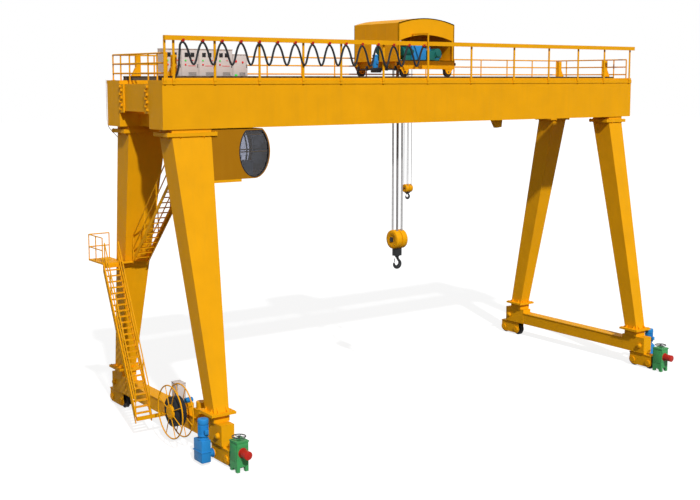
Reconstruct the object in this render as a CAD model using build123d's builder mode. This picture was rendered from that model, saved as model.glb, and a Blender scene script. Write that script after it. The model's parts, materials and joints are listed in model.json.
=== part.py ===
"""Double-girder gantry crane with a hooded crab, a driver's cab and a festoon cable.

Millimetres. X runs along the span from the cab end to the far end, Y runs along the ground
rails with the cable side at -Y, Z is up and zero is the level that the wheels stand on.
"""

from build123d import *
from math import cos, pi, sin
import os

os.makedirs("parts", exist_ok=True)

# Driving dimensions of the portal.
GIRDER_LENGTH = 25000
GIRDER_WIDTH = 1100
GIRDER_HEIGHT = 1750
GIRDER_TOP = 13600
GIRDER_OUTER = 2360
CAP_HEIGHT = 140
CAP_LIP = 30
PLATE = 30

LEG_X = {"left": -11330, "right": 11500}
LEG_TOP_WIDTH = {"left": 1600, "right": 900}
LEG_TOP_DEPTH = 1000
LEG_FOOT_WIDTH = 600
LEG_FOOT_DEPTH = 690
LEG_FOOT_Y = 3870
FOOT_FLANGE_TOP = 1810

SILL_WIDTH = 500
SILL_BOTTOM = 700
SILL_TOP = 1270
SILL_BLOCK_TOP = 1450
SILL_END = 4650
SILL_BLOCK_START = 3350

BOGIE_Y = 4400
WHEEL_BASE = 900
WHEEL_RADIUS = 300
TREAD_RADIUS = 270
WHEEL_WIDTH = 140
CHEEK_INSIDE = 165
CHEEK_THICKNESS = 25
CHEEK_END_RADIUS = 210
AXLE_RADIUS = 45
RUNNING_CLEARANCE = 0.05
SEAT = 0.3

# Crab and its rails.
RAIL_Y = 1500
RAIL_HEAD = 60
RAIL_HEIGHT = 160
CRAB_X = 300
CRAB_WHEEL_X = 1200
CRAB_TREAD_RADIUS = 180
CRAB_FLANGE_RADIUS = 200
CRAB_AXLE_RADIUS = 35
DECK_TOP = 14420
HOOD_HALF_LENGTH = 1535
HOOD_HALF_WIDTH = 1550
HOOD_EAVES = 15970
HOOD_APEX = 16200
SHEET = 40

# Hooks.
MAIN_X = -220
MAIN_Y = -250
MAIN_BLOCK_Z = 6665
MAIN_BLOCK_RADIUS = 415
AUX_X = 1120
AUX_Y = 700
AUX_BLOCK_Z = 8760
AUX_BLOCK_RADIUS = 180
ROPE_TOP = 14820
MAIN_FALL_X = 120
MAIN_FALL_Y = 165
ROPE_PAIR = 30
ROPE_RADIUS = 14
AUX_FALL_X = 90
AUX_FALL_Y = 150
AUX_ROPE_RADIUS = 10

# Access.
STAIR_WIDTH = 600
STAIR_OUTER_X = -12800
LANDING_Z = 6450
CAB_FLOOR_Z = 9940
CAB_REAR = -10500
CAB_BOTTOM = CAB_FLOOR_Z
CAB_ROOF = 11810
CAB_NEAR = -2300
CAB_FAR = -900

GIRDER_BOTTOM = GIRDER_TOP - GIRDER_HEIGHT
GIRDER_INNER = GIRDER_OUTER - GIRDER_WIDTH
GIRDER_Y = (GIRDER_OUTER + GIRDER_INNER) / 2
RAIL_TOP = GIRDER_TOP + RAIL_HEIGHT
CRAB_AXLE_Z = RAIL_TOP + SEAT + CRAB_TREAD_RADIUS
LEG_NECK = 120
LEG_FLANGE = 140
LEG_TOP_Z = GIRDER_BOTTOM - LEG_NECK - LEG_FLANGE


def block(x0, x1, y0, y1, z0, z1, mode=Mode.ADD):
    """A box between the given faces."""
    with Locations(((x0 + x1) / 2, (y0 + y1) / 2, (z0 + z1) / 2)):
        Box(x1 - x0, y1 - y0, z1 - z0, mode=mode)


def rod(start, end, radius, sides=8):
    """A straight bar with few sides between two points."""
    axis = Vector(*end) - Vector(*start)
    with BuildSketch(Plane(origin=start, z_dir=axis)) as section:
        RegularPolygon(radius, sides)
    extrude(section.sketch, amount=axis.length)


def round_bar(start, end, radius, mode=Mode.ADD):
    """A round bar between two points."""
    axis = Vector(*end) - Vector(*start)
    with BuildSketch(Plane(origin=start, z_dir=axis)) as section:
        Circle(radius)
    extrude(section.sketch, amount=axis.length, mode=mode)


def save(builder, name):
    """Label a finished sub-part and write its STEP file."""
    builder.part.label = name
    export_step(builder.part, f"parts/{name}.step")


# Girders: closed box sections with a wider cap along the top edge.
def girder(name, side):
    """One main girder; side is -1 for the cable side and 1 for the walkway side."""
    half = GIRDER_LENGTH / 2
    inner, outer = sorted((side * GIRDER_INNER, side * GIRDER_OUTER))
    with BuildPart() as box_girder:
        block(-half, half, inner, outer, GIRDER_BOTTOM, GIRDER_TOP - CAP_HEIGHT)
        block(-half, half, inner - CAP_LIP, outer + CAP_LIP, GIRDER_TOP - CAP_HEIGHT, GIRDER_TOP)
        if side < 0:
            lug_x = 4150
            with BuildSketch(Plane.XZ.offset(-(-GIRDER_Y + 100))):
                with BuildLine():
                    Polyline(
                        (lug_x - 280, GIRDER_BOTTOM),
                        (lug_x + 280, GIRDER_BOTTOM),
                        (lug_x + 240, GIRDER_BOTTOM - 330),
                        (lug_x - 60, GIRDER_BOTTOM - 360),
                        close=True,
                    )
                make_face()
            extrude(amount=200)
    save(box_girder, name)


girder("front_girder", -1)
girder("rear_girder", 1)


# End beams tie the two girders together at both ends.
END_BEAM_BOTTOM = 12450
END_BEAM_TOP = GIRDER_TOP - CAP_HEIGHT
END_STRIP = 350
with BuildPart() as end_beams:
    for end in (-1, 1):
        outer_x = end * (GIRDER_LENGTH / 2 - 60)
        inner_x = end * (GIRDER_LENGTH / 2 - 560)
        low, high = sorted((outer_x, inner_x))
        block(low, high, -GIRDER_INNER, GIRDER_INNER, END_BEAM_BOTTOM, END_BEAM_TOP)
        face, skin = sorted((outer_x, end * (GIRDER_LENGTH / 2)))
        for side in (-1, 1):
            edge, inside = sorted((side * GIRDER_INNER, side * (GIRDER_INNER - END_STRIP)))
            block(face, skin, edge, inside, END_BEAM_BOTTOM - 60, END_BEAM_TOP)
        tie_x = LEG_X["left"] if end < 0 else LEG_X["right"]
        block(tie_x - 350, tie_x + 350, -GIRDER_INNER, GIRDER_INNER, GIRDER_BOTTOM, GIRDER_BOTTOM + 480)
save(end_beams, "end_beams")


# Crab rails: foot, web and head drawn as one profile each.
with BuildPart() as crab_rails:
    for side in (-1, 1):
        with BuildSketch(Plane.YZ.offset(-GIRDER_LENGTH / 2 + 300)):
            with Locations((side * RAIL_Y, GIRDER_TOP + 12)):
                Rectangle(150, 24)
            with Locations((side * RAIL_Y, GIRDER_TOP + RAIL_HEIGHT / 2)):
                Rectangle(22, RAIL_HEIGHT - 10)
            with Locations((side * RAIL_Y, RAIL_TOP - 25)):
                Rectangle(RAIL_HEAD, 50)
        extrude(amount=GIRDER_LENGTH - 600)
save(crab_rails, "crab_rails")


# End stops stand over the rails and catch the crab's buffers.
STOP_X = 11500
STOP_WIDTH = 190
STOP_HEIGHT = 760
with BuildPart() as crab_stops:
    for end in (-1, 1):
        for side in (-1, 1):
            with BuildSketch(Plane.XZ.offset(-side * RAIL_Y - 70)):
                with BuildLine():
                    Polyline(
                        (end * STOP_X, RAIL_TOP),
                        (end * STOP_X, RAIL_TOP + STOP_HEIGHT),
                        (end * (STOP_X + STOP_WIDTH), RAIL_TOP + STOP_HEIGHT),
                        (end * (STOP_X + STOP_WIDTH), RAIL_TOP + 330),
                        (end * (STOP_X + STOP_WIDTH + 180), RAIL_TOP),
                        close=True,
                    )
                make_face()
            extrude(amount=140)
save(crab_stops, "crab_stops")


# Legs: tapered box columns between two bolted flanges, leaning outwards.
def gusset_ring(centre_x, centre_y, width, depth, z, height):
    """Small triangular webs between a leg's face and a flange, two to each side."""
    reach = abs(height) * 0.6
    for side in (-1, 1):
        for offset in (-0.3, 0.3):
            with BuildSketch(Plane.XZ.offset(-(centre_y + offset * depth) - 10)) as web:
                with BuildLine():
                    start_x = centre_x + side * (width / 2 - 60)
                    Polyline(
                        (start_x, z),
                        (centre_x + side * (width / 2 + reach), z),
                        (start_x, z + height),
                        close=True,
                    )
                make_face()
            extrude(web.sketch, amount=20)
            with BuildSketch(Plane.YZ.offset(centre_x + offset * width - 10)) as web:
                with BuildLine():
                    start_y = centre_y + side * (depth / 2 - 60)
                    Polyline(
                        (start_y, z),
                        (centre_y + side * (depth / 2 + reach), z),
                        (start_y, z + height),
                        close=True,
                    )
                make_face()
            extrude(web.sketch, amount=20)


def leg(name, end, side):
    """One leg; end is left or right, side is -1 at the front and 1 at the rear."""
    centre_x = LEG_X[end]
    top_width = LEG_TOP_WIDTH[end]
    top_y = side * GIRDER_Y
    foot_y = side * LEG_FOOT_Y
    with BuildPart() as column:
        with BuildSketch(Plane.XY.offset(FOOT_FLANGE_TOP)):
            with Locations((centre_x, foot_y)):
                Rectangle(LEG_FOOT_WIDTH, LEG_FOOT_DEPTH)
        with BuildSketch(Plane.XY.offset(LEG_TOP_Z)):
            with Locations((centre_x, top_y)):
                Rectangle(top_width, LEG_TOP_DEPTH)
        loft()
        block(centre_x - 500, centre_x + 500, foot_y - 525, foot_y + 525,
              FOOT_FLANGE_TOP - 2 * PLATE, FOOT_FLANGE_TOP)
        block(centre_x - top_width / 2, centre_x + top_width / 2,
              top_y - LEG_TOP_DEPTH / 2, top_y + LEG_TOP_DEPTH / 2, LEG_TOP_Z + LEG_FLANGE, GIRDER_BOTTOM)
        plate_half = top_width / 2 + 220
        block(centre_x - plate_half, centre_x + plate_half, top_y - 560, top_y + 560,
              LEG_TOP_Z, LEG_TOP_Z + LEG_FLANGE)
        gusset_ring(centre_x, foot_y, LEG_FOOT_WIDTH, LEG_FOOT_DEPTH, FOOT_FLANGE_TOP, 220)
        gusset_ring(centre_x, top_y, top_width, LEG_TOP_DEPTH, LEG_TOP_Z, -160)
        if (end, side) == ("left", -1):
            block(CAB_REAR - 20, CAB_REAR + 250, CAB_NEAR - 10, top_y + 570,
                  LEG_TOP_Z - 170, LEG_TOP_Z + LEG_FLANGE + 1, Mode.SUBTRACT)
    save(column, name)


leg("leg_front_left", "left", -1)
leg("leg_rear_left", "left", 1)
leg("leg_front_right", "right", -1)
leg("leg_rear_right", "right", 1)


# Sill beams run along the ground rails under each pair of legs.
PIN_Z = 1040
PIN_RADIUS = 110


def sill(name, end):
    """One sill beam with its raised end blocks, leg seats and bogie pins."""
    centre_x = LEG_X[end]
    half = SILL_WIDTH / 2
    with BuildPart() as beam:
        block(centre_x - half, centre_x + half, -SILL_BLOCK_START, SILL_BLOCK_START,
              SILL_BOTTOM, SILL_TOP - PLATE)
        block(centre_x - half - 30, centre_x + half + 30, -SILL_BLOCK_START, SILL_BLOCK_START,
              SILL_TOP - PLATE, SILL_TOP)
        for side in (-1, 1):
            low, high = sorted((side * SILL_BLOCK_START, side * SILL_END))
            block(centre_x - half - 10, centre_x + half + 10, low, high, SILL_BOTTOM, SILL_BLOCK_TOP)
            foot_y = side * LEG_FOOT_Y
            block(centre_x - 320, centre_x + 320, foot_y - 350, foot_y + 350,
                  SILL_BLOCK_TOP, FOOT_FLANGE_TOP - 3 * PLATE)
            block(centre_x - 500, centre_x + 500, foot_y - 525, foot_y + 525,
                  FOOT_FLANGE_TOP - 3 * PLATE, FOOT_FLANGE_TOP - 2 * PLATE)
            round_bar((centre_x - half - 70, side * BOGIE_Y, PIN_Z),
                      (centre_x + half + 70, side * BOGIE_Y, PIN_Z), PIN_RADIUS)
    save(beam, name)


sill("sill_beam_left", "left")
sill("sill_beam_right", "right")


# Bogies: two cheeks with rounded ends around the axles, a top plate and a saddle.
BOGIE_TOP = 620
BOGIE_PLATE_TOP = 660
BOGIE_HALF = WHEEL_BASE / 2


def bogie(centre_x, centre_y):
    """One two-wheel bogie frame, bored for its axles."""
    for side in (-1, 1):
        inside = centre_x + side * CHEEK_INSIDE
        outside = inside + side * CHEEK_THICKNESS
        low = min(inside, outside)
        with BuildSketch(Plane.YZ.offset(low)) as cheek:
            with Locations((centre_y - BOGIE_HALF, WHEEL_RADIUS), (centre_y + BOGIE_HALF, WHEEL_RADIUS)):
                Circle(CHEEK_END_RADIUS)
            with Locations((centre_y, WHEEL_RADIUS)):
                Rectangle(WHEEL_BASE, 2 * CHEEK_END_RADIUS)
            with Locations((centre_y, (WHEEL_RADIUS + BOGIE_TOP) / 2)):
                Rectangle(WHEEL_BASE + 2 * CHEEK_END_RADIUS - 60, BOGIE_TOP - WHEEL_RADIUS)
        extrude(cheek.sketch, amount=CHEEK_THICKNESS)
        for axle in (-1, 1):
            axle_y = centre_y + axle * BOGIE_HALF
            round_bar((outside, axle_y, WHEEL_RADIUS), (outside + side * 50, axle_y, WHEEL_RADIUS), 130)
    half = CHEEK_INSIDE + CHEEK_THICKNESS + 25
    block(centre_x - half, centre_x + half, centre_y - 640, centre_y + 640, BOGIE_TOP, BOGIE_PLATE_TOP)
    block(centre_x - 200, centre_x + 200, centre_y - 250, centre_y + 250, BOGIE_PLATE_TOP, SILL_BOTTOM)
    block(centre_x - CHEEK_INSIDE, centre_x + CHEEK_INSIDE, centre_y - 40, centre_y + 40, 200, BOGIE_TOP)
    for axle in (-1, 1):
        axle_y = centre_y + axle * BOGIE_HALF
        for side in (-1, 1):
            start = centre_x + side * (CHEEK_INSIDE - 1)
            end_x = centre_x + side * (CHEEK_INSIDE + CHEEK_THICKNESS + 35)
            round_bar((start, axle_y, WHEEL_RADIUS), (end_x, axle_y, WHEEL_RADIUS),
                      AXLE_RADIUS + RUNNING_CLEARANCE, Mode.SUBTRACT)


with BuildPart() as bogie_frames:
    for end_x in LEG_X.values():
        for side in (-1, 1):
            bogie(end_x, side * BOGIE_Y)
save(bogie_frames, "bogie_frames")


# Ground wheels: a double-flanged tyre on a shaft that turns in the bogie's bosses.
def ground_wheel(name, centre_x, centre_y):
    """One ground wheel with its shaft, revolved about the axle."""
    half = WHEEL_WIDTH / 2
    shaft = CHEEK_INSIDE + CHEEK_THICKNESS + 30
    with BuildPart() as wheel:
        with BuildSketch(Plane.XZ.offset(-centre_y)):
            with BuildLine():
                Polyline(
                    (centre_x - shaft, WHEEL_RADIUS),
                    (centre_x - shaft, WHEEL_RADIUS + AXLE_RADIUS),
                    (centre_x - half - 40, WHEEL_RADIUS + AXLE_RADIUS),
                    (centre_x - half - 40, WHEEL_RADIUS + 100),
                    (centre_x - half + 20, WHEEL_RADIUS + 120),
                    (centre_x - half + 20, WHEEL_RADIUS + 220),
                    (centre_x - half, WHEEL_RADIUS + 230),
                    (centre_x - half, 2 * WHEEL_RADIUS),
                    (centre_x - half + 22, 2 * WHEEL_RADIUS),
                    (centre_x - half + 30, WHEEL_RADIUS + TREAD_RADIUS),
                    (centre_x + half - 30, WHEEL_RADIUS + TREAD_RADIUS),
                    (centre_x + half - 22, 2 * WHEEL_RADIUS),
                    (centre_x + half, 2 * WHEEL_RADIUS),
                    (centre_x + half, WHEEL_RADIUS + 230),
                    (centre_x + half - 20, WHEEL_RADIUS + 220),
                    (centre_x + half - 20, WHEEL_RADIUS + 120),
                    (centre_x + half + 40, WHEEL_RADIUS + 100),
                    (centre_x + half + 40, WHEEL_RADIUS + AXLE_RADIUS),
                    (centre_x + shaft, WHEEL_RADIUS + AXLE_RADIUS),
                    (centre_x + shaft, WHEEL_RADIUS),
                    close=True,
                )
            make_face()
        revolve(axis=Axis((centre_x, centre_y, WHEEL_RADIUS), (1, 0, 0)))
    save(wheel, name)


for end_name, end_x in LEG_X.items():
    for side_name, side in (("front", -1), ("rear", 1)):
        for place, axle in (("outer", 1), ("inner", -1)):
            wheel_y = side * (BOGIE_Y + axle * BOGIE_HALF)
            ground_wheel(f"wheel_{side_name}_{end_name}_{place}", end_x, wheel_y)


# Blue drives: upright geared motors on the inner axle of each front bogie, and the reel's motor.
DRIVE_REACH = 240
REEL_Y = -2100
REEL_Z = 1470
REEL_A_X = -12300
REEL_B_X = -11870


def travel_drive(centre_x, side):
    """One upright geared motor beside a bogie; side is the sign of X that it stands on."""
    axle_y = -(BOGIE_Y - BOGIE_HALF)
    near = centre_x + side * DRIVE_REACH
    box_near = centre_x + side * 530
    box_far = centre_x + side * 950
    round_bar((near, axle_y, WHEEL_RADIUS), (box_near, axle_y, WHEEL_RADIUS), 125)
    low, high = sorted((box_near, box_far))
    block(low, high, axle_y - 480, axle_y + 130, 200, 950)
    middle_x = (low + high) / 2
    middle_y = axle_y - 200
    round_bar((middle_x, middle_y, 950), (middle_x, middle_y, 1080), 150)
    round_bar((middle_x, middle_y, 1080), (middle_x, middle_y, 1640), 195)
    round_bar((middle_x, middle_y, 1640), (middle_x, middle_y, 1700), 160)
    block(middle_x - 60, middle_x + 60, middle_y - 290, middle_y - 150, 1180, 1340)


with BuildPart() as drive_motors:
    travel_drive(LEG_X["left"], -1)
    travel_drive(LEG_X["right"], 1)
    round_bar((-11700, REEL_Y, 1800), (-11380, REEL_Y, 1800), 95)
save(drive_motors, "drive_motors")


# Rail clamps at the front ends, each with a red buffer and a handwheel on top.
CLAMP_BACK = -5170
CLAMP_FRONT = -5670
CLAMP_TOP = 1080
HANDWHEEL_Z = 1250
CLAMP_MIDDLE = (CLAMP_BACK + CLAMP_FRONT) / 2
with BuildPart() as rail_clamps:
    for end_x in LEG_X.values():
        block(end_x - 230, end_x + 230, CLAMP_FRONT, CLAMP_BACK, 30, CLAMP_TOP)
        block(end_x - 250, end_x + 250, CLAMP_FRONT - 20, CLAMP_BACK, CLAMP_TOP, CLAMP_TOP + 50)
        block(end_x - 110, end_x + 110, CLAMP_FRONT - 30, CLAMP_BACK + 10, 20, 210, Mode.SUBTRACT)
        with BuildSketch(Plane.YZ.offset(end_x - 260)):
            with Locations((CLAMP_MIDDLE, 30)):
                Circle(130)
        extrude(amount=520, mode=Mode.SUBTRACT)
        block(end_x - 150, end_x + 150, CLAMP_BACK, -(BOGIE_Y + 640), BOGIE_TOP, BOGIE_PLATE_TOP)
        round_bar((end_x, CLAMP_MIDDLE, CLAMP_TOP + 50), (end_x, CLAMP_MIDDLE, CLAMP_TOP + 80), 45)
        round_bar((end_x, CLAMP_MIDDLE, CLAMP_TOP - 60), (end_x, CLAMP_MIDDLE, CLAMP_TOP + 80),
                  20 + RUNNING_CLEARANCE, Mode.SUBTRACT)
save(rail_clamps, "rail_clamps")

BUFFER_END = CLAMP_FRONT - 400
BUFFER_Z = 720
with BuildPart() as travel_buffers:
    for end_x in LEG_X.values():
        round_bar((end_x, CLAMP_FRONT, BUFFER_Z), (end_x, BUFFER_END, BUFFER_Z), 150)
save(travel_buffers, "travel_buffers")


def handwheel(name, centre_x):
    """A five-spoked handwheel on its screw."""
    with BuildPart() as wheel:
        round_bar((centre_x, CLAMP_MIDDLE, CLAMP_TOP - 50), (centre_x, CLAMP_MIDDLE, HANDWHEEL_Z + 30), 20)
        round_bar((centre_x, CLAMP_MIDDLE, HANDWHEEL_Z - 25), (centre_x, CLAMP_MIDDLE, HANDWHEEL_Z + 30), 45)
        for spoke in range(5):
            turn = 2 * pi * spoke / 5
            rod((centre_x + 30 * cos(turn), CLAMP_MIDDLE + 30 * sin(turn), HANDWHEEL_Z),
                (centre_x + 240 * cos(turn), CLAMP_MIDDLE + 240 * sin(turn), HANDWHEEL_Z), 12, 6)
        with BuildSketch(Plane.XZ.offset(-CLAMP_MIDDLE)):
            with Locations((centre_x + 240, HANDWHEEL_Z)):
                RegularPolygon(20, 8)
        revolve(axis=Axis((centre_x, CLAMP_MIDDLE, 0), (0, 0, 1)))
    save(wheel, name)


handwheel("clamp_handwheel_left", LEG_X["left"])
handwheel("clamp_handwheel_right", LEG_X["right"])


# Cable reel beside the left sill: two spoked rings on a hub, with the wound supply cable.
REEL_RADIUS = 1000
WINDING_RADIUS = 560
HUB_RADIUS = 270
REEL_SPOKES = 8
with BuildPart() as reel_wheel:
    round_bar((REEL_A_X - 30, REEL_Y, REEL_Z), (REEL_B_X + 30, REEL_Y, REEL_Z), HUB_RADIUS)
    round_bar((REEL_B_X, REEL_Y, REEL_Z), (-11720, REEL_Y, REEL_Z), 40)
    for ring_x in (REEL_A_X, REEL_B_X):
        with BuildSketch(Plane.XZ.offset(-REEL_Y)):
            with Locations((ring_x, REEL_Z + REEL_RADIUS - 15)):
                RegularPolygon(15, 6)
        revolve(axis=Axis((0, REEL_Y, REEL_Z), (1, 0, 0)))
        for spoke in range(REEL_SPOKES):
            turn = 2 * pi * (spoke + 0.5) / REEL_SPOKES
            rod((ring_x, REEL_Y + 200 * cos(turn), REEL_Z + 200 * sin(turn)),
                (ring_x, REEL_Y + 985 * cos(turn), REEL_Z + 985 * sin(turn)), 12, 6)
save(reel_wheel, "reel_wheel")

with BuildPart() as reel_winding:
    with BuildSketch(Plane.YZ.offset(REEL_A_X + 30)):
        with Locations((REEL_Y, REEL_Z)):
            Circle(WINDING_RADIUS)
            Circle(HUB_RADIUS, mode=Mode.SUBTRACT)
    extrude(amount=REEL_B_X - REEL_A_X - 60)
save(reel_winding, "reel_winding")

SILL_OUTER_LEFT = LEG_X["left"] - SILL_WIDTH / 2
with BuildPart() as reel_stand:
    round_bar((-11810, REEL_Y, REEL_Z), (-11600, REEL_Y, REEL_Z), 120)
    block(-11700, -11400, REEL_Y - 150, REEL_Y + 150, SILL_TOP, 1705)
    block(-11560, -11110, REEL_Y - 850, REEL_Y - 400, SILL_TOP, 1600)
    round_bar((-11335, REEL_Y - 625, 1600), (-11335, REEL_Y - 625, 1860), 200)
    round_bar((-11811, REEL_Y, REEL_Z), (-11710, REEL_Y, REEL_Z), 40 + RUNNING_CLEARANCE, Mode.SUBTRACT)
save(reel_stand, "reel_stand")


# Grey cabinets on the walkway girder and the supply box on the left sill.
CABINET_Y = (1730, 2230)
with BuildPart() as control_cabinets:
    for index in range(4):
        x0 = -10390 + index * 780
        block(x0, x0 + 770, *CABINET_Y, GIRDER_TOP, GIRDER_TOP + 1220)
    block(-7270, -6570, *CABINET_Y, GIRDER_TOP, GIRDER_TOP + 1030)
    block(-11500, -11160, -1150, -650, SILL_TOP, 2150)
save(control_cabinets, "control_cabinets")


# Railings: few-sided rails and posts.
def railing(points, posts, height=1000, rails=(500, 1000), radius=24):
    """Rails that follow a chain of points, with upright posts at the given points."""
    for level in rails:
        for start, end in zip(points, points[1:]):
            rod((start[0], start[1], start[2] + level), (end[0], end[1], end[2] + level), radius, 6)
    for point in posts:
        rod(point, (point[0], point[1], point[2] + height), radius, 6)


def along(start, end, count):
    """Evenly spaced points between two points, both included."""
    step = 1 / (count - 1)
    return [tuple(a + (b - a) * index * step for a, b in zip(start, end)) for index in range(count)]


# Stairs: channel stringers with plate treads.
def stair(name, x0, foot_y, foot_z, top_y, top_z, treads, posts):
    """One straight flight between two heights, running along Y."""
    run = top_y - foot_y
    rise = top_z - foot_z
    with BuildPart() as flight:
        for stringer_x in (x0, x0 + STAIR_WIDTH - 20):
            with BuildSketch(Plane.YZ.offset(stringer_x)):
                with BuildLine():
                    Polyline(
                        (foot_y, foot_z - 110),
                        (top_y, top_z - 220),
                        (top_y, top_z),
                        (foot_y, foot_z + 110),
                        close=True,
                    )
                make_face()
            extrude(amount=20)
        spots = []
        for index in range(1, treads):
            share = index / treads
            spots.append((x0 + STAIR_WIDTH / 2, foot_y + run * share, foot_z + rise * share - 60))
        with Locations(*spots):
            Box(STAIR_WIDTH - 30, 200, 25)
        for rail_x in (x0 + 10, x0 + STAIR_WIDTH - 10):
            inset = 60 if run > 0 else -60
            slope = rise / run
            line = along((rail_x, foot_y + inset, foot_z + slope * inset),
                         (rail_x, top_y - inset, top_z - slope * inset), posts)
            railing(line, line, 950, (450, 950))
    save(flight, name)


LOWER_FOOT = (-250, 850)
LOWER_TOP_Y = 2400
UPPER_FOOT_Y = 2250
UPPER_TOP_Y = -1100
UPPER_STAIR_X = -11650
stair("stair_lower", STAIR_OUTER_X, LOWER_FOOT[0], LOWER_FOOT[1], LOWER_TOP_Y, LANDING_Z, 26, 6)
stair("stair_upper", UPPER_STAIR_X, UPPER_FOOT_Y, LANDING_Z, UPPER_TOP_Y, CAB_FLOOR_Z, 16, 4)

# Landing and cab platform: deck plates on angle brackets.
with BuildPart() as platforms:
    block(-12850, -11940, LOWER_TOP_Y, 3800, LANDING_Z - 60, LANDING_Z)
    block(-12180, -11000, 2250, LOWER_TOP_Y, LANDING_Z - 60, LANDING_Z)
    block(-11940, -11868, 2700, 3100, LANDING_Z - 260, LANDING_Z)
    deck_under = CAB_FLOOR_Z - 100
    block(-11700, -10430, -1560, UPPER_TOP_Y, deck_under, CAB_FLOOR_Z)
    block(-11030, -10430, UPPER_TOP_Y, -200, deck_under, CAB_FLOOR_Z)
    block(-10430, -9270, CAB_NEAR, CAB_FAR, deck_under, CAB_FLOOR_Z)
    block(-10590, -10430, CAB_NEAR, -1560, deck_under, CAB_FLOOR_Z)
    block(-11750, -11700, -1300, -1250, deck_under, LEG_TOP_Z)
    block(-11030, -10980, -200, -150, deck_under, GIRDER_BOTTOM)
    block(STAIR_OUTER_X, LEG_X["left"] - SILL_WIDTH / 2, -330, -250, 760, 900)
save(platforms, "platforms")


with BuildPart() as platform_railings:
    landing_line = [(-12830, LOWER_TOP_Y + 60, LANDING_Z), (-12830, 3780, LANDING_Z), (-11960, 3780, LANDING_Z)]
    railing(landing_line, landing_line + [(-12830, 3100, LANDING_Z)])
    cab_line = [(-11665, -1420, CAB_FLOOR_Z), (-11665, UPPER_TOP_Y - 60, CAB_FLOOR_Z)]
    railing(cab_line, cab_line)
    inner_line = [(-11000, UPPER_TOP_Y + 60, CAB_FLOOR_Z), (-11000, -240, CAB_FLOOR_Z),
                  (-10460, -240, CAB_FLOOR_Z), (-10460, -860, CAB_FLOOR_Z)]
    railing(inner_line, inner_line)
save(platform_railings, "platform_railings")


# Driver's cab: a hollow body with a rounded glazed nose and oval side windows.
CAB_WALL = 45
NOSE_X = -8710
NOSE_Z = 10950
NOSE_RX = 700
WINDOW_RX = 630
WINDOW_RZ = 945
WINDOW_TOP = 11730
FRONT_GLASS_X = NOSE_X + 380
FRONT_GLASS_LOW = 10200
FRONT_GLASS_HIGH = 11600


def cab_profile(inset):
    """Side outline of the cab, drawn in XZ and moved in by the given amount."""
    with BuildLine() as outline:
        rear = CAB_REAR + inset
        low = CAB_BOTTOM + inset
        high = 2 * NOSE_Z - low
        Line((rear, low), (NOSE_X, low))
        EllipticalCenterArc((NOSE_X, NOSE_Z), NOSE_RX - inset, NOSE_Z - low, start_angle=-90, arc_size=180)
        Line((NOSE_X, high), (rear, high))
        Line((rear, high), (rear, low))
    make_face(outline.edges())
    with Locations((NOSE_X, CAB_ROOF - inset + 200)):
        Rectangle(5000, 400, mode=Mode.SUBTRACT)


def window_outline():
    """Side window: the nose ellipse set in by a rim and cut level below the roof."""
    with Locations((NOSE_X, NOSE_Z)):
        Ellipse(WINDOW_RX, WINDOW_RZ)
    with Locations((NOSE_X, WINDOW_TOP + 200)):
        Rectangle(5000, 400, mode=Mode.SUBTRACT)


with BuildPart() as cab_shell:
    with BuildSketch(Plane.XZ.offset(-CAB_FAR)):
        cab_profile(0)
    extrude(amount=CAB_FAR - CAB_NEAR)
    with BuildSketch(Plane.XZ.offset(-CAB_FAR + CAB_WALL)):
        cab_profile(CAB_WALL)
    extrude(amount=CAB_FAR - CAB_NEAR - 2 * CAB_WALL, mode=Mode.SUBTRACT)
    with BuildSketch(Plane.XZ.offset(-CAB_FAR - 10)):
        window_outline()
    extrude(amount=CAB_FAR - CAB_NEAR + 20, mode=Mode.SUBTRACT)
    block(FRONT_GLASS_X, -7900, CAB_NEAR + 110, CAB_FAR - 110, FRONT_GLASS_LOW, FRONT_GLASS_HIGH, Mode.SUBTRACT)
    block(CAB_REAR - 10, CAB_REAR + CAB_WALL + 10, -1540, -960, CAB_BOTTOM + CAB_WALL, 11700, Mode.SUBTRACT)
    for pad_x in (-10150, -8800):
        for pad_y in (-2150, -1350):
            block(pad_x - 80, pad_x + 80, pad_y - 60, pad_y + 60, CAB_ROOF, GIRDER_BOTTOM)
save(cab_shell, "cab_shell")

with BuildPart() as cab_glass:
    for pane_y in (CAB_NEAR + 30, CAB_FAR - 20):
        with BuildSketch(Plane.XZ.offset(-pane_y)):
            window_outline()
        extrude(amount=10)
    with BuildSketch(Plane.XZ.offset(-CAB_FAR + 110)):
        cab_profile(16)
    extrude(amount=CAB_FAR - CAB_NEAR - 220)
    with BuildSketch(Plane.XZ.offset(-CAB_FAR + 110)):
        cab_profile(28)
    extrude(amount=CAB_FAR - CAB_NEAR - 220, mode=Mode.SUBTRACT)
    block(CAB_REAR, FRONT_GLASS_X, CAB_NEAR + 50, CAB_FAR - 50, 9800, 11900, Mode.SUBTRACT)
    block(FRONT_GLASS_X, -7900, CAB_NEAR + 50, CAB_FAR - 50, 9800, FRONT_GLASS_LOW, Mode.SUBTRACT)
    block(FRONT_GLASS_X, -7900, CAB_NEAR + 50, CAB_FAR - 50, FRONT_GLASS_HIGH, 11900, Mode.SUBTRACT)
save(cab_glass, "cab_glass")

with BuildPart() as cab_door:
    block(CAB_REAR + 5, CAB_REAR + 40, -1537, -963, CAB_BOTTOM + CAB_WALL, 11697)
save(cab_door, "cab_door")


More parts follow.
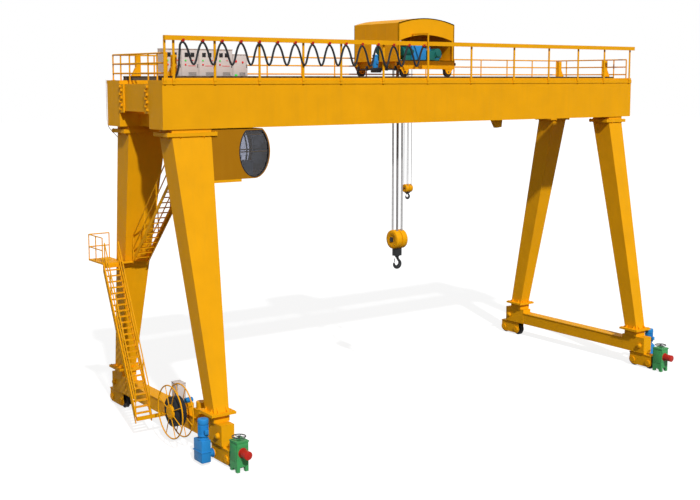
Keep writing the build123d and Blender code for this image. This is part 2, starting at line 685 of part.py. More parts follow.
# Handrails on the rear girder and across both ends.
HANDRAIL_LEVELS = (260, 620, 970)
HANDRAIL_Y = 2320
HANDRAIL_X = 12250
with BuildPart() as walkway_handrails:
    rear_posts = along((-HANDRAIL_X, HANDRAIL_Y, GIRDER_TOP), (HANDRAIL_X, HANDRAIL_Y, GIRDER_TOP), 15)
    railing([rear_posts[0], rear_posts[-1]], rear_posts, 970, HANDRAIL_LEVELS)
    for end in (-1, 1):
        start = (end * HANDRAIL_X, HANDRAIL_Y - 60, GIRDER_TOP)
        finish = (end * HANDRAIL_X, -2250, GIRDER_TOP)
        posts = [(end * HANDRAIL_X, post_y, GIRDER_TOP) for post_y in (1620, -1480, -2250)]
        railing([start, finish], posts, 970, HANDRAIL_LEVELS)
        for post_y in (830, -750):
            rod((end * HANDRAIL_X, post_y, END_BEAM_TOP), (end * HANDRAIL_X, post_y, GIRDER_TOP + 970), 24, 6)
save(walkway_handrails, "walkway_handrails")


# Festoon: a beam on posts, cable carriers and one cable hung in loops to the crab.
FESTOON_Y = -2490
FESTOON_HALF = 45
FESTOON_BOTTOM = 15010
FESTOON_TOP = 15180
POST_FACE = -(GIRDER_OUTER + CAP_LIP)
POST_WIDTH = 90
POST_DEPTH = 30
POST_X = (-12410, -12060, -10400, -8510, -6550, -4770, -2670, -330, 2080, 4610, 6790, 8710, 10500, 12300)
with BuildPart() as festoon_beam:
    block(-12450, 12500, FESTOON_Y - FESTOON_HALF, FESTOON_Y + FESTOON_HALF, FESTOON_BOTTOM, FESTOON_TOP)
    for post_x in POST_X:
        left, right = post_x - POST_WIDTH / 2, post_x + POST_WIDTH / 2
        block(left, right, POST_FACE - POST_DEPTH, POST_FACE, GIRDER_TOP - CAP_HEIGHT, FESTOON_TOP)
        block(left, right, FESTOON_Y + FESTOON_HALF, POST_FACE - POST_DEPTH, FESTOON_TOP - 80, FESTOON_TOP)
save(festoon_beam, "festoon_beam")

CARRIER_COUNT = 15
CARRIER_START = -11730
CARRIER_END = -650
CARRIER_PITCH = (CARRIER_END - CARRIER_START) / (CARRIER_COUNT - 1)
CABLE_RADIUS = 45
CABLE_PEAK = 14950
CABLE_VALLEY = 14190
PEAK_BEND = 75
VALLEY_BEND = 110
CORNER_SHARE = 1.751
with BuildPart() as festoon_carriers:
    for index in range(CARRIER_COUNT):
        middle = CARRIER_START + CARRIER_PITCH * index
        cheek = FESTOON_HALF + SEAT
        block(middle - 80, middle + 80, FESTOON_Y - cheek - 12, FESTOON_Y + cheek + 12, 14965, 15060)
        block(middle - 81, middle + 81, FESTOON_Y - cheek, FESTOON_Y + cheek,
              FESTOON_BOTTOM, 15061, Mode.SUBTRACT)
        block(middle - 81, middle + 81, FESTOON_Y - cheek, FESTOON_Y + cheek,
              14964, CABLE_PEAK + CABLE_RADIUS, Mode.SUBTRACT)
save(festoon_carriers, "festoon_carriers")

# The cable leaves the girder's top, hangs from every carrier and ends in the foot of the tow arm.
TOW_FACE = -530
cable_points = [
    (-11990, FESTOON_Y + 190, GIRDER_TOP + 22),
    (-11870, FESTOON_Y, 14150),
    (CARRIER_START - 46, FESTOON_Y, 15200),
]
cable_radii = [150, PEAK_BEND]
for index in range(1, CARRIER_COUNT):
    peak_x = CARRIER_START + CARRIER_PITCH * index
    cable_points.append((peak_x - CARRIER_PITCH / 2, FESTOON_Y, CABLE_VALLEY - CORNER_SHARE * VALLEY_BEND))
    cable_radii.append(VALLEY_BEND)
    if index < CARRIER_COUNT - 1:
        cable_points.append((peak_x, FESTOON_Y, CABLE_PEAK + CORNER_SHARE * PEAK_BEND))
        cable_radii.append(PEAK_BEND)
cable_points.append((CARRIER_END - 51, FESTOON_Y, CABLE_PEAK))
cable_radii.append(PEAK_BEND)
cable_points.append((TOW_FACE, FESTOON_Y, CABLE_PEAK))
with BuildPart() as festoon_cable:
    with BuildLine() as cable_route:
        FilletPolyline(*cable_points, radius=cable_radii)
    with BuildSketch(Plane(origin=cable_route.line @ 0, z_dir=cable_route.line % 0)):
        RegularPolygon(CABLE_RADIUS, 6)
    sweep()
save(festoon_cable, "festoon_cable")


# Crab chassis: two end carriages over the rails, cross beams and a deck.
CARRIAGE_BOTTOM = 14060
PEDESTAL_BOTTOM = 13860
CARRIAGE_HALF = 1500


def carriage_profile():
    """Side outline of an end carriage with chamfered ends and axle pedestals."""
    left = CRAB_X - CARRIAGE_HALF
    right = CRAB_X + CARRIAGE_HALF
    axle_l = CRAB_X - CRAB_WHEEL_X
    axle_r = CRAB_X + CRAB_WHEEL_X
    with BuildLine() as outline:
        Polyline(
            (left, DECK_TOP - 40), (left, CARRIAGE_BOTTOM + 120),
            (axle_l - 130, PEDESTAL_BOTTOM + 60), (axle_l - 80, PEDESTAL_BOTTOM),
            (axle_l + 80, PEDESTAL_BOTTOM), (axle_l + 130, PEDESTAL_BOTTOM + 60),
            (axle_l + 200, CARRIAGE_BOTTOM), (axle_r - 200, CARRIAGE_BOTTOM),
            (axle_r - 130, PEDESTAL_BOTTOM + 60), (axle_r - 80, PEDESTAL_BOTTOM),
            (axle_r + 80, PEDESTAL_BOTTOM), (axle_r + 130, PEDESTAL_BOTTOM + 60),
            (right, CARRIAGE_BOTTOM + 120), (right, DECK_TOP - 40),
            close=True,
        )
    make_face(outline.edges())


with BuildPart() as crab_chassis:
    for side in (-1, 1):
        for near, far in ((RAIL_Y - 100, RAIL_Y - 75), (RAIL_Y + 75, RAIL_Y + 100)):
            low = min(side * near, side * far)
            with BuildSketch(Plane.XZ.offset(-low - 25)):
                carriage_profile()
            extrude(amount=25)
    for beam_x in (CRAB_X - 1250, CRAB_X + 1250):
        block(beam_x - 100, beam_x + 100, -(RAIL_Y - 100), RAIL_Y - 100, CARRIAGE_BOTTOM + 40, DECK_TOP - 40)
    block(CRAB_X - 1535, CRAB_X + 1535, -1600, 1600, DECK_TOP - 40, DECK_TOP)
    block(MAIN_X - 200, MAIN_X + 200, MAIN_Y - 260, MAIN_Y + 260, DECK_TOP - 50, DECK_TOP + 10, Mode.SUBTRACT)
    block(AUX_X - 180, AUX_X + 180, AUX_Y - 230, AUX_Y + 230, DECK_TOP - 50, DECK_TOP + 10, Mode.SUBTRACT)
    for axle in (-1, 1):
        axle_x = CRAB_X + axle * CRAB_WHEEL_X
        for side in (-1, 1):
            round_bar((axle_x, side * RAIL_Y - 110, CRAB_AXLE_Z), (axle_x, side * RAIL_Y + 110, CRAB_AXLE_Z),
                      CRAB_AXLE_RADIUS + RUNNING_CLEARANCE, Mode.SUBTRACT)
    for end in (-1, 1):
        for side in (-1, 1):
            start_x = CRAB_X + end * CARRIAGE_HALF
            near_x, far_x = sorted((start_x, start_x + end * 20))
            block(near_x, far_x, side * RAIL_Y - 100, side * RAIL_Y + 100, 14180, DECK_TOP - 40)
            round_bar((far_x if end > 0 else near_x, side * RAIL_Y, 14280),
                      (start_x + end * 130, side * RAIL_Y, 14280), 70)
    for hoist_x, anchor_y in ((MAIN_X, MAIN_Y + MAIN_FALL_Y), (AUX_X, AUX_Y - AUX_FALL_Y)):
        block(hoist_x - 260, hoist_x + 260, anchor_y - 50, anchor_y + 50, ROPE_TOP + SEAT, ROPE_TOP + 120)
        for stand_x in (hoist_x - 260, hoist_x + 210):
            block(stand_x, stand_x + 50, anchor_y - 50, anchor_y + 50, DECK_TOP, ROPE_TOP + 120)
save(crab_chassis, "crab_chassis")


def crab_wheel(name, axle_x, centre_y):
    """One crab wheel with its shaft, revolved about the axle."""
    with BuildPart() as wheel:
        with BuildSketch(Plane.YZ.offset(axle_x)):
            with BuildLine():
                base = CRAB_AXLE_Z
                Polyline(
                    (centre_y - 105, base), (centre_y - 105, base + CRAB_AXLE_RADIUS),
                    (centre_y - 60, base + CRAB_AXLE_RADIUS), (centre_y - 60, base + CRAB_FLANGE_RADIUS),
                    (centre_y - 44, base + CRAB_FLANGE_RADIUS), (centre_y - 40, base + CRAB_TREAD_RADIUS),
                    (centre_y + 40, base + CRAB_TREAD_RADIUS), (centre_y + 44, base + CRAB_FLANGE_RADIUS),
                    (centre_y + 60, base + CRAB_FLANGE_RADIUS), (centre_y + 60, base + CRAB_AXLE_RADIUS),
                    (centre_y + 105, base + CRAB_AXLE_RADIUS), (centre_y + 105, base),
                    close=True,
                )
            make_face()
        revolve(axis=Axis((axle_x, centre_y, CRAB_AXLE_Z), (0, 1, 0)))
    save(wheel, name)


for end_name, end in (("left", -1), ("right", 1)):
    for side_name, side in (("front", -1), ("rear", 1)):
        crab_wheel(f"crab_wheel_{side_name}_{end_name}", CRAB_X + end * CRAB_WHEEL_X, side * RAIL_Y)


# Crab hood: sheet walls under a low arched roof, open at the front and at the sides.
OPEN_LEFT = -1080
OPEN_RIGHT = 1280
OPEN_TOP = 15500


def hood_profile(inset):
    """End outline of the hood with its arched roof, moved in by the given amount."""
    left = CRAB_X - HOOD_HALF_LENGTH + inset
    right = CRAB_X + HOOD_HALF_LENGTH - inset
    with BuildLine() as outline:
        Line((left, DECK_TOP), (right, DECK_TOP))
        Line((right, DECK_TOP), (right, HOOD_EAVES - inset))
        ThreePointArc((right, HOOD_EAVES - inset), (CRAB_X, HOOD_APEX - inset), (left, HOOD_EAVES - inset))
        Line((left, HOOD_EAVES - inset), (left, DECK_TOP))
    make_face(outline.edges())


with BuildPart() as crab_hood:
    with BuildSketch(Plane.XZ.offset(-HOOD_HALF_WIDTH)):
        hood_profile(0)
    extrude(amount=2 * HOOD_HALF_WIDTH)
    with BuildSketch(Plane.XZ.offset(-HOOD_HALF_WIDTH + SHEET)):
        hood_profile(SHEET)
    extrude(amount=2 * HOOD_HALF_WIDTH - 2 * SHEET, mode=Mode.SUBTRACT)
    with BuildSketch(Plane.XZ.offset(HOOD_HALF_WIDTH - SHEET - 10)):
        with BuildLine():
            Line((OPEN_LEFT, DECK_TOP - 1), (OPEN_RIGHT, DECK_TOP - 1))
            Line((OPEN_RIGHT, DECK_TOP - 1), (OPEN_RIGHT, OPEN_TOP - 220))
            ThreePointArc((OPEN_RIGHT, OPEN_TOP - 220), ((OPEN_LEFT + OPEN_RIGHT) / 2, OPEN_TOP),
                          (OPEN_LEFT, OPEN_TOP - 220))
            Line((OPEN_LEFT, OPEN_TOP - 220), (OPEN_LEFT, DECK_TOP - 1))
        make_face()
    extrude(amount=SHEET + 20, mode=Mode.SUBTRACT)
    block(CRAB_X - HOOD_HALF_LENGTH - 10, CRAB_X - HOOD_HALF_LENGTH + SHEET + 10,
          -250, 350, DECK_TOP - 1, 15150, Mode.SUBTRACT)
save(crab_hood, "crab_hood")

# Tow arm: reaches over the festoon beam, down outside it and under it to the cable's end.
ARM_OUTER_Y = -2620
ARM_TOP = 15530
with BuildPart() as tow_arm:
    block(TOW_FACE, TOW_FACE + 60, ARM_OUTER_Y, -HOOD_HALF_WIDTH, ARM_TOP - 60, ARM_TOP)
    block(TOW_FACE, TOW_FACE + 60, ARM_OUTER_Y, ARM_OUTER_Y + 50, CABLE_PEAK - 30, ARM_TOP)
    block(TOW_FACE, TOW_FACE + 60, ARM_OUTER_Y, FESTOON_Y + FESTOON_HALF, CABLE_PEAK - 30, CABLE_PEAK + 30)
save(tow_arm, "tow_arm")


# Hoist machinery on the deck: two rope drums on bearing stands, and blue motors.
DRUM_Z = 14820
MAIN_DRUM_RADIUS = 330
MAIN_DRUM_Y = MAIN_Y - 165 - MAIN_DRUM_RADIUS
AUX_DRUM_RADIUS = 220
AUX_DRUM_Y = AUX_Y + AUX_FALL_Y + AUX_DRUM_RADIUS
MAIN_CORE_RADIUS = MAIN_DRUM_RADIUS - ROPE_RADIUS * cos(pi / 6) - SEAT
AUX_CORE_RADIUS = AUX_DRUM_RADIUS - AUX_ROPE_RADIUS * cos(pi / 6) - SEAT
with BuildPart() as hoist_drums:
    round_bar((-800, MAIN_DRUM_Y, DRUM_Z), (900, MAIN_DRUM_Y, DRUM_Z), MAIN_CORE_RADIUS)
    for flange_x in (-800, 860):
        round_bar((flange_x, MAIN_DRUM_Y, DRUM_Z), (flange_x + 40, MAIN_DRUM_Y, DRUM_Z), MAIN_DRUM_RADIUS + 20)
    for stand_x in (-880, 900):
        block(stand_x, stand_x + 80, MAIN_DRUM_Y - 120, MAIN_DRUM_Y + 120, DECK_TOP, DRUM_Z)
    round_bar((700, AUX_DRUM_Y, DRUM_Z), (1500, AUX_DRUM_Y, DRUM_Z), AUX_CORE_RADIUS)
    for stand_x in (620, 1500):
        block(stand_x, stand_x + 80, AUX_DRUM_Y - 100, AUX_DRUM_Y + 100, DECK_TOP, DRUM_Z + 60)
save(hoist_drums, "hoist_drums")

with BuildPart() as crab_motors:
    round_bar((1080, MAIN_DRUM_Y, 14700), (1640, MAIN_DRUM_Y, 14700), 230)
    block(1150, 1560, MAIN_DRUM_Y - 150, MAIN_DRUM_Y + 150, DECK_TOP, 14600)
    round_bar((-1080, 50, 14800), (-700, 50, 14800), 180)
    block(-1040, -740, -70, 170, DECK_TOP, 14700)
save(crab_motors, "crab_motors")


# Main hook block: two round sheave housings, a crosshead and a swivelling hook.
CROSSHEAD_TOP = MAIN_BLOCK_Z - MAIN_BLOCK_RADIUS + 60
CROSSHEAD_BOTTOM = 5930
with BuildPart() as main_block:
    for side in (-1, 1):
        low, high = sorted((MAIN_X + side * 15, MAIN_X + side * 250))
        round_bar((low, MAIN_Y, MAIN_BLOCK_Z), (high, MAIN_Y, MAIN_BLOCK_Z), MAIN_BLOCK_RADIUS)
    round_bar((MAIN_X - 275, MAIN_Y, MAIN_BLOCK_Z), (MAIN_X + 275, MAIN_Y, MAIN_BLOCK_Z), 70)
    block(MAIN_X - 150, MAIN_X + 150, MAIN_Y - 110, MAIN_Y + 110, CROSSHEAD_BOTTOM, CROSSHEAD_TOP + 60)
    round_bar((MAIN_X, MAIN_Y, CROSSHEAD_BOTTOM - 1), (MAIN_X, MAIN_Y, CROSSHEAD_BOTTOM + 150),
              45 + RUNNING_CLEARANCE, Mode.SUBTRACT)
save(main_block, "main_block")


def hook(name, centre_x, centre_y, seat_z, shank_radius, outer_radius, thickness, drop):
    """A single hook: a shank that turns in its block and a tapered open bowl."""
    bowl_z = seat_z - drop
    with BuildPart() as forged:
        round_bar((centre_x, centre_y, bowl_z + outer_radius * 0.7),
                  (centre_x, centre_y, seat_z + shank_radius * 3), shank_radius)
        with BuildSketch(Plane.XZ.offset(-centre_y - thickness / 2)):
            with Locations((centre_x, bowl_z)):
                Circle(outer_radius)
            with Locations((centre_x - outer_radius * 0.08, bowl_z + outer_radius * 0.1)):
                Circle(outer_radius * 0.52, mode=Mode.SUBTRACT)
            with BuildLine():
                Polyline(
                    (centre_x - outer_radius * 0.2, bowl_z + outer_radius * 0.2),
                    (centre_x - outer_radius * 1.2, bowl_z + outer_radius * 0.35),
                    (centre_x - outer_radius * 1.2, bowl_z + outer_radius * 1.1),
                    (centre_x - outer_radius * 0.12, bowl_z + outer_radius * 1.1),
                    (centre_x - outer_radius * 0.12, bowl_z + outer_radius * 0.5),
                    close=True,
                )
            make_face(mode=Mode.SUBTRACT)
        extrude(amount=thickness)
    save(forged, name)


hook("main_hook", MAIN_X, MAIN_Y, CROSSHEAD_BOTTOM, 45, 215, 110, 345)

AUX_SEAT_Z = AUX_BLOCK_Z - 225
with BuildPart() as aux_block:
    for side in (-1, 1):
        low, high = sorted((AUX_X + side * 12, AUX_X + side * 145))
        round_bar((low, AUX_Y, AUX_BLOCK_Z), (high, AUX_Y, AUX_BLOCK_Z), AUX_BLOCK_RADIUS)
    round_bar((AUX_X - 160, AUX_Y, AUX_BLOCK_Z), (AUX_X + 160, AUX_Y, AUX_BLOCK_Z), 45)
    block(AUX_X - 60, AUX_X + 60, AUX_Y - 60, AUX_Y + 60, AUX_SEAT_Z, AUX_BLOCK_Z - 120)
    round_bar((AUX_X, AUX_Y, AUX_SEAT_Z - 1), (AUX_X, AUX_Y, AUX_SEAT_Z + 90),
              25 + RUNNING_CLEARANCE, Mode.SUBTRACT)
save(aux_block, "aux_block")

hook("aux_hook", AUX_X, AUX_Y, AUX_SEAT_Z, 25, 105, 60, 115)

# Ropes hang straight from the crab to the blocks.
with BuildPart() as main_ropes:
    for offset_x in (-MAIN_FALL_X, MAIN_FALL_X):
        for offset_y in (-MAIN_FALL_Y, MAIN_FALL_Y):
            for pair in (-ROPE_PAIR, ROPE_PAIR):
                start = (MAIN_X + offset_x + pair, MAIN_Y + offset_y, MAIN_BLOCK_Z + 386.1)
                rod(start, (start[0], start[1], ROPE_TOP), ROPE_RADIUS, 6)
save(main_ropes, "main_ropes")

with BuildPart() as aux_ropes:
    for offset_x in (-AUX_FALL_X, AUX_FALL_X):
        for offset_y in (-AUX_FALL_Y, AUX_FALL_Y):
            start = (AUX_X + offset_x, AUX_Y + offset_y, AUX_BLOCK_Z + 111.8)
            rod(start, (start[0], start[1], ROPE_TOP), AUX_ROPE_RADIUS, 6)
save(aux_ropes, "aux_ropes")
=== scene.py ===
"""Looks of the double-girder gantry crane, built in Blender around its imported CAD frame.

Each sub-assembly of the crane is a class. Its sizes are dataclass fields in metres, in the
frame of the CAD model: X along the span, Y along the ground rails, Z up.
"""

import json
import logging
import math
from dataclasses import dataclass, field
from enum import Enum
from itertools import product
from typing import Iterable, Sequence

import bmesh
import bpy
from mathutils import Matrix, Vector

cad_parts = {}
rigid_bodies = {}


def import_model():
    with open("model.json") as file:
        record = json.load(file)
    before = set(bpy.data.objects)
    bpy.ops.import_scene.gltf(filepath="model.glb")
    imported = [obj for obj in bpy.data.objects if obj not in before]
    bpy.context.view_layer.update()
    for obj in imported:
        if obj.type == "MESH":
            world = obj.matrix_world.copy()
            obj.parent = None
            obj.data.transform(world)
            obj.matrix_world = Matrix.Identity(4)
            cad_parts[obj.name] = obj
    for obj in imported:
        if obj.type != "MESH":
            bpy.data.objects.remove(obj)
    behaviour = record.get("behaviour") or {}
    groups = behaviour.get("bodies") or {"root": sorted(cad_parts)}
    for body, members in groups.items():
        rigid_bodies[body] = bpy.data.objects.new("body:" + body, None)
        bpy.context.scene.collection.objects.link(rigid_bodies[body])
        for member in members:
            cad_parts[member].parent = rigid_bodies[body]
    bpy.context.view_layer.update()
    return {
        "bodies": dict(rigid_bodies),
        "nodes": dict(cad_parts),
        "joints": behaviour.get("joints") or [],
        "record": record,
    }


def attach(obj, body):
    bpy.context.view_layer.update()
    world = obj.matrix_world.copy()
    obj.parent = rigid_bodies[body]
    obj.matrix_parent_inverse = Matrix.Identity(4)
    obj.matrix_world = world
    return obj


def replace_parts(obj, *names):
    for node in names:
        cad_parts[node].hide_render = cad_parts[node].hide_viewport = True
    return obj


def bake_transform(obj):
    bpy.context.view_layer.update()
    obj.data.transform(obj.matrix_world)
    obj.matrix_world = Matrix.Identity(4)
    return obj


log = logging.getLogger("crane")

Point = tuple[float, float, float]
Colour = tuple[float, float, float]

SPAN, UP, DOWN = (1, 0, 0), (0, 0, 1), (0, 0, -1)
SIDES = (-1.0, 1.0)
LEG_X = (-11.33, 11.5)


# ---------------------------------------------------------------- finishes


def node(
    tree: bpy.types.NodeTree, kind: str, inputs: dict[str, object] | None = None, **settings: object
) -> bpy.types.Node:
    """Add a shader node to a tree.

    Args:
        tree: Nodes of a material or of the world.
        kind: Type of the node, without its ShaderNode prefix.
        inputs: Socket names or numbers, each with a value or with the output socket to link from.
        settings: Attributes of the node, such as its operation.

    Returns:
        The new node.
    """
    made = tree.nodes.new("ShaderNode" + kind)
    for name, value in settings.items():
        setattr(made, name, value)
    for name, value in (inputs or {}).items():
        socket = made.inputs[int(name)] if name.isdigit() else made.inputs[name]
        if isinstance(value, bpy.types.NodeSocket):
            tree.links.new(value, socket)
        else:
            socket.default_value = value
    return made


def empty_tree(owner: bpy.types.Material | bpy.types.World) -> bpy.types.NodeTree:
    """Return the node tree of a new material or world, with nothing in it."""
    owner.use_nodes = True
    owner.node_tree.nodes.clear()
    return owner.node_tree


def clouds(
    tree: bpy.types.NodeTree, place: bpy.types.NodeSocket, scale: float, detail: float
) -> bpy.types.NodeSocket:
    """Return the height of a cloudy pattern."""
    return node(tree, "TexNoise", {"Vector": place, "Scale": scale, "Detail": detail}).outputs["Fac"]


def ranged(
    tree: bpy.types.NodeTree, value: bpy.types.NodeSocket, low: float, high: float,
    window: tuple[float, float] = (0.0, 1.0),
) -> bpy.types.NodeSocket:
    """Return a value that runs from low to high as the given one runs through the window."""
    sockets = {"Value": value, "From Min": window[0], "From Max": window[1], "To Min": low, "To Max": high}
    return node(tree, "MapRange", sockets).outputs["Result"]


class Grain(Enum):
    """How the small pattern of a finish is drawn."""

    SPRAYED = "sprayed"
    CAST = "cast"
    BRUSHED = "brushed"


@dataclass(frozen=True)
class Coating:
    """A named surface that becomes a material once and is then reused."""

    name: str

    def material(self) -> bpy.types.Material:
        """Return this surface as a material."""
        made = bpy.data.materials.get(self.name)
        if made is None:
            made = bpy.data.materials.new(self.name)
            tree = empty_tree(made)
            place = node(tree, "TexCoord").outputs["Object"]
            node(tree, "OutputMaterial", {"Surface": self._shader(tree, place)})
        return made

    def _shader(self, tree: bpy.types.NodeTree, place: bpy.types.NodeSocket) -> bpy.types.NodeSocket:
        """Wire the shader over the Object coordinates and return its output."""
        raise NotImplementedError


@dataclass(frozen=True)
class Finish(Coating):
    """A solid finish whose colour, gloss and relief vary a little over the surface."""

    colour: Colour
    roughness: float = 0.42
    metallic: float = 0.0
    mottle: float = 0.06
    relief: float = 0.02
    relief_scale: float = 180.0
    grain: Grain = Grain.SPRAYED
    dust: float = 0.0
    dust_colour: Colour = (0.5, 0.26, 0.02)
    specular: float = 0.18
    patch_scale: float = 0.9

    def _shader(self, tree: bpy.types.NodeTree, place: bpy.types.NodeSocket) -> bpy.types.NodeSocket:
        """Wire the paint or metal and return its output."""
        patches = clouds(tree, place, self.patch_scale, 5.0)
        shade = ranged(tree, patches, 1.0 - self.mottle, 1.0 + self.mottle * 0.5, (0.3, 0.7))
        tint = node(tree, "Mix", {"Factor": 1.0, "A": (*self.colour, 1.0), "B": shade},
                    data_type="RGBA", blend_type="MULTIPLY").outputs["Result"]
        bump = {"Strength": 0.35, "Distance": self.relief, "Height": self._grain(tree, place)}
        return node(tree, "BsdfPrincipled", {
            "Base Color": self._dusted(tree, place, tint), "Metallic": self.metallic,
            "Roughness": ranged(tree, patches, self.roughness - 0.08, self.roughness + 0.1),
            "Specular IOR Level": self.specular, "Normal": node(tree, "Bump", bump).outputs["Normal"],
        }).outputs["BSDF"]

    def _grain(self, tree: bpy.types.NodeTree, place: bpy.types.NodeSocket) -> bpy.types.NodeSocket:
        """Return the height of the fine relief: pits, brush lines or the peel of sprayed paint."""
        if self.grain is Grain.CAST:
            return node(tree, "TexVoronoi", {"Vector": place, "Scale": self.relief_scale}).outputs["Distance"]
        if self.grain is Grain.BRUSHED:
            place = node(tree, "Mapping", {"Vector": place, "Scale": (1.0, 0.04, 1.0)}).outputs[0]
        return clouds(tree, place, self.relief_scale, 2.0)

    def _dusted(
        self, tree: bpy.types.NodeTree, place: bpy.types.NodeSocket, tint: bpy.types.NodeSocket
    ) -> bpy.types.NodeSocket:
        """Return the colour with streaks of settled dust, stronger where self.dust is larger."""
        if self.dust == 0.0:
            return tint
        streaks = node(tree, "Mapping", {"Vector": place, "Scale": (3.0, 3.0, 0.25)}).outputs[0]
        amount = ranged(tree, clouds(tree, streaks, 1.6, 6.0), 0.0, self.dust, (0.5, 0.8))
        return node(tree, "Mix", {"Factor": amount, "A": tint, "B": (*self.dust_colour, 1.0)},
                    data_type="RGBA").outputs["Result"]


@dataclass(frozen=True)
class GlassFinish(Coating):
    """Slightly blue cab glazing that lets the inside show."""

    tint: Colour = (0.7, 0.71, 0.76)
    index: float = 1.5

    def _shader(self, tree: bpy.types.NodeTree, place: bpy.types.NodeSocket) -> bpy.types.NodeSocket:
        """Mix clear glass with reflections that grow toward grazing angles."""
        haze = ranged(tree, clouds(tree, place, 1.4, 1.0), 0.02, 0.09)
        gloss = node(tree, "BsdfGlossy", {"Roughness": haze}).outputs["BSDF"]
        clear = node(tree, "BsdfTransparent", {"Color": (*self.tint, 1.0)}).outputs["BSDF"]
        edge = node(tree, "Fresnel", {"IOR": self.index}).outputs["Fac"]
        return node(tree, "MixShader", {"0": edge, "1": clear, "2": gloss}).outputs["Shader"]


AMBER = Finish("sprayed_amber", (0.86, 0.385, 0.002), roughness=0.55, dust=0.12, specular=0.1)
# Painted shade: the amber paint darkened to stand for the shadow that the cab's shell lies in under the girders.
CAB_AMBER_PAINTED_SHADE = Finish("cab_amber_painted_shade", (0.4, 0.163, 0.002), roughness=0.55, dust=0.12, specular=0.1)
BLUE = Finish("sprayed_blue", (0.02, 0.24, 0.6), roughness=0.4, mottle=0.05)
GREEN = Finish("sprayed_green", (0.055, 0.33, 0.1))
RED = Finish("sprayed_red", (0.5, 0.02, 0.012), roughness=0.36, mottle=0.05)
CABINET = Finish("cabinet_enamel", (0.62, 0.56, 0.53), roughness=0.5, mottle=0.04)
RUBBER = Finish("black_rubber", (0.022, 0.024, 0.028), roughness=0.6, mottle=0.15, relief_scale=90.0)
RAIL = Finish("worn_rail", (0.1, 0.075, 0.05), roughness=0.55, metallic=0.2, grain=Grain.BRUSHED)
WHEEL = Finish("wheel_iron", (0.02, 0.02, 0.022), roughness=0.5, grain=Grain.CAST, relief_scale=60.0)
HANDWHEEL = Finish("handwheel_casting", (0.05, 0.06, 0.06), roughness=0.35, metallic=0.5, relief_scale=260.0)
ROPE = Finish("laid_rope", (0.3, 0.29, 0.29), roughness=0.6, metallic=0.2)
HOOK = Finish("hook_forging", (0.02, 0.022, 0.024), roughness=0.38, grain=Grain.CAST, relief_scale=40.0)
DARK_TRIM = Finish("dark_trim", (0.02, 0.02, 0.022), roughness=0.35, mottle=0.1)
GREEN_LAMP = Finish("green_lamp", (0.05, 0.75, 0.08), roughness=0.2, mottle=0.02)
RED_LAMP = Finish("red_lamp", (0.8, 0.03, 0.03), roughness=0.2, mottle=0.02)
SEAT_SHELL = Finish("seat_shell", (0.03, 0.032, 0.04), roughness=0.6, mottle=0.1)
CONSOLE = Finish("console_enamel", (0.32, 0.36, 0.4), roughness=0.5, mottle=0.05)
TEAL = Finish("teal_paint", (0.01, 0.14, 0.12), roughness=0.4)
GLAZING = GlassFinish("cab_window_glass")

CAD_FINISHES: dict[str, Coating] = {
    "amber_paint": AMBER, "blue_paint": BLUE, "green_paint": GREEN, "red_paint": RED,
    "cabinet_grey": CABINET, "cab_glazing": GLAZING, "cable_rubber": RUBBER, "rail_steel": RAIL,
    "wheel_steel": WHEEL, "handwheel_iron": HANDWHEEL, "rope_steel": ROPE, "hook_iron": HOOK,
}


# ---------------------------------------------------------------- mesh making


def put(name: str, data: bpy.types.ID) -> bpy.types.Object:
    """Put data in the scene as an object."""
    made = bpy.data.objects.new(name, data)
    bpy.context.scene.collection.objects.link(made)
    return made


def finished(name: str, mesh: bpy.types.Mesh, finish: Coating, sharp: float) -> bpy.types.Object:
    """Put a mesh in the scene with its finish; edges sharper than this angle in degrees stay sharp."""
    mesh.name = name
    mesh.materials.clear()
    mesh.materials.append(finish.material())
    mesh.polygons.foreach_set("use_smooth", [True] * len(mesh.polygons))
    mesh.set_sharp_from_angle(angle=math.radians(sharp))
    return put(name, mesh)


def facing(centre: Point, axis: Point) -> Matrix:
    """Return the placement at centre whose Z points along an axis."""
    return Matrix.Translation(Vector(centre)) @ Vector(axis).to_track_quat("Z", "Y").to_matrix().to_4x4()


def spread(first: float, last: float, count: int) -> list[float]:
    """Return evenly spaced numbers from first to last."""
    return [first + (last - first) * index / (count - 1) for index in range(count)]


def around(centre: Point, axis: Point, radius: float, count: int, start: float = 0.0) -> list[Vector]:
    """Return points evenly spaced on a circle about an axis."""
    turn = Vector(axis).to_track_quat("Z", "Y")
    angles = [start + 2 * math.pi * index / count for index in range(count)]
    return [Vector(centre) + turn @ Vector((radius * math.cos(a), radius * math.sin(a), 0.0)) for a in angles]


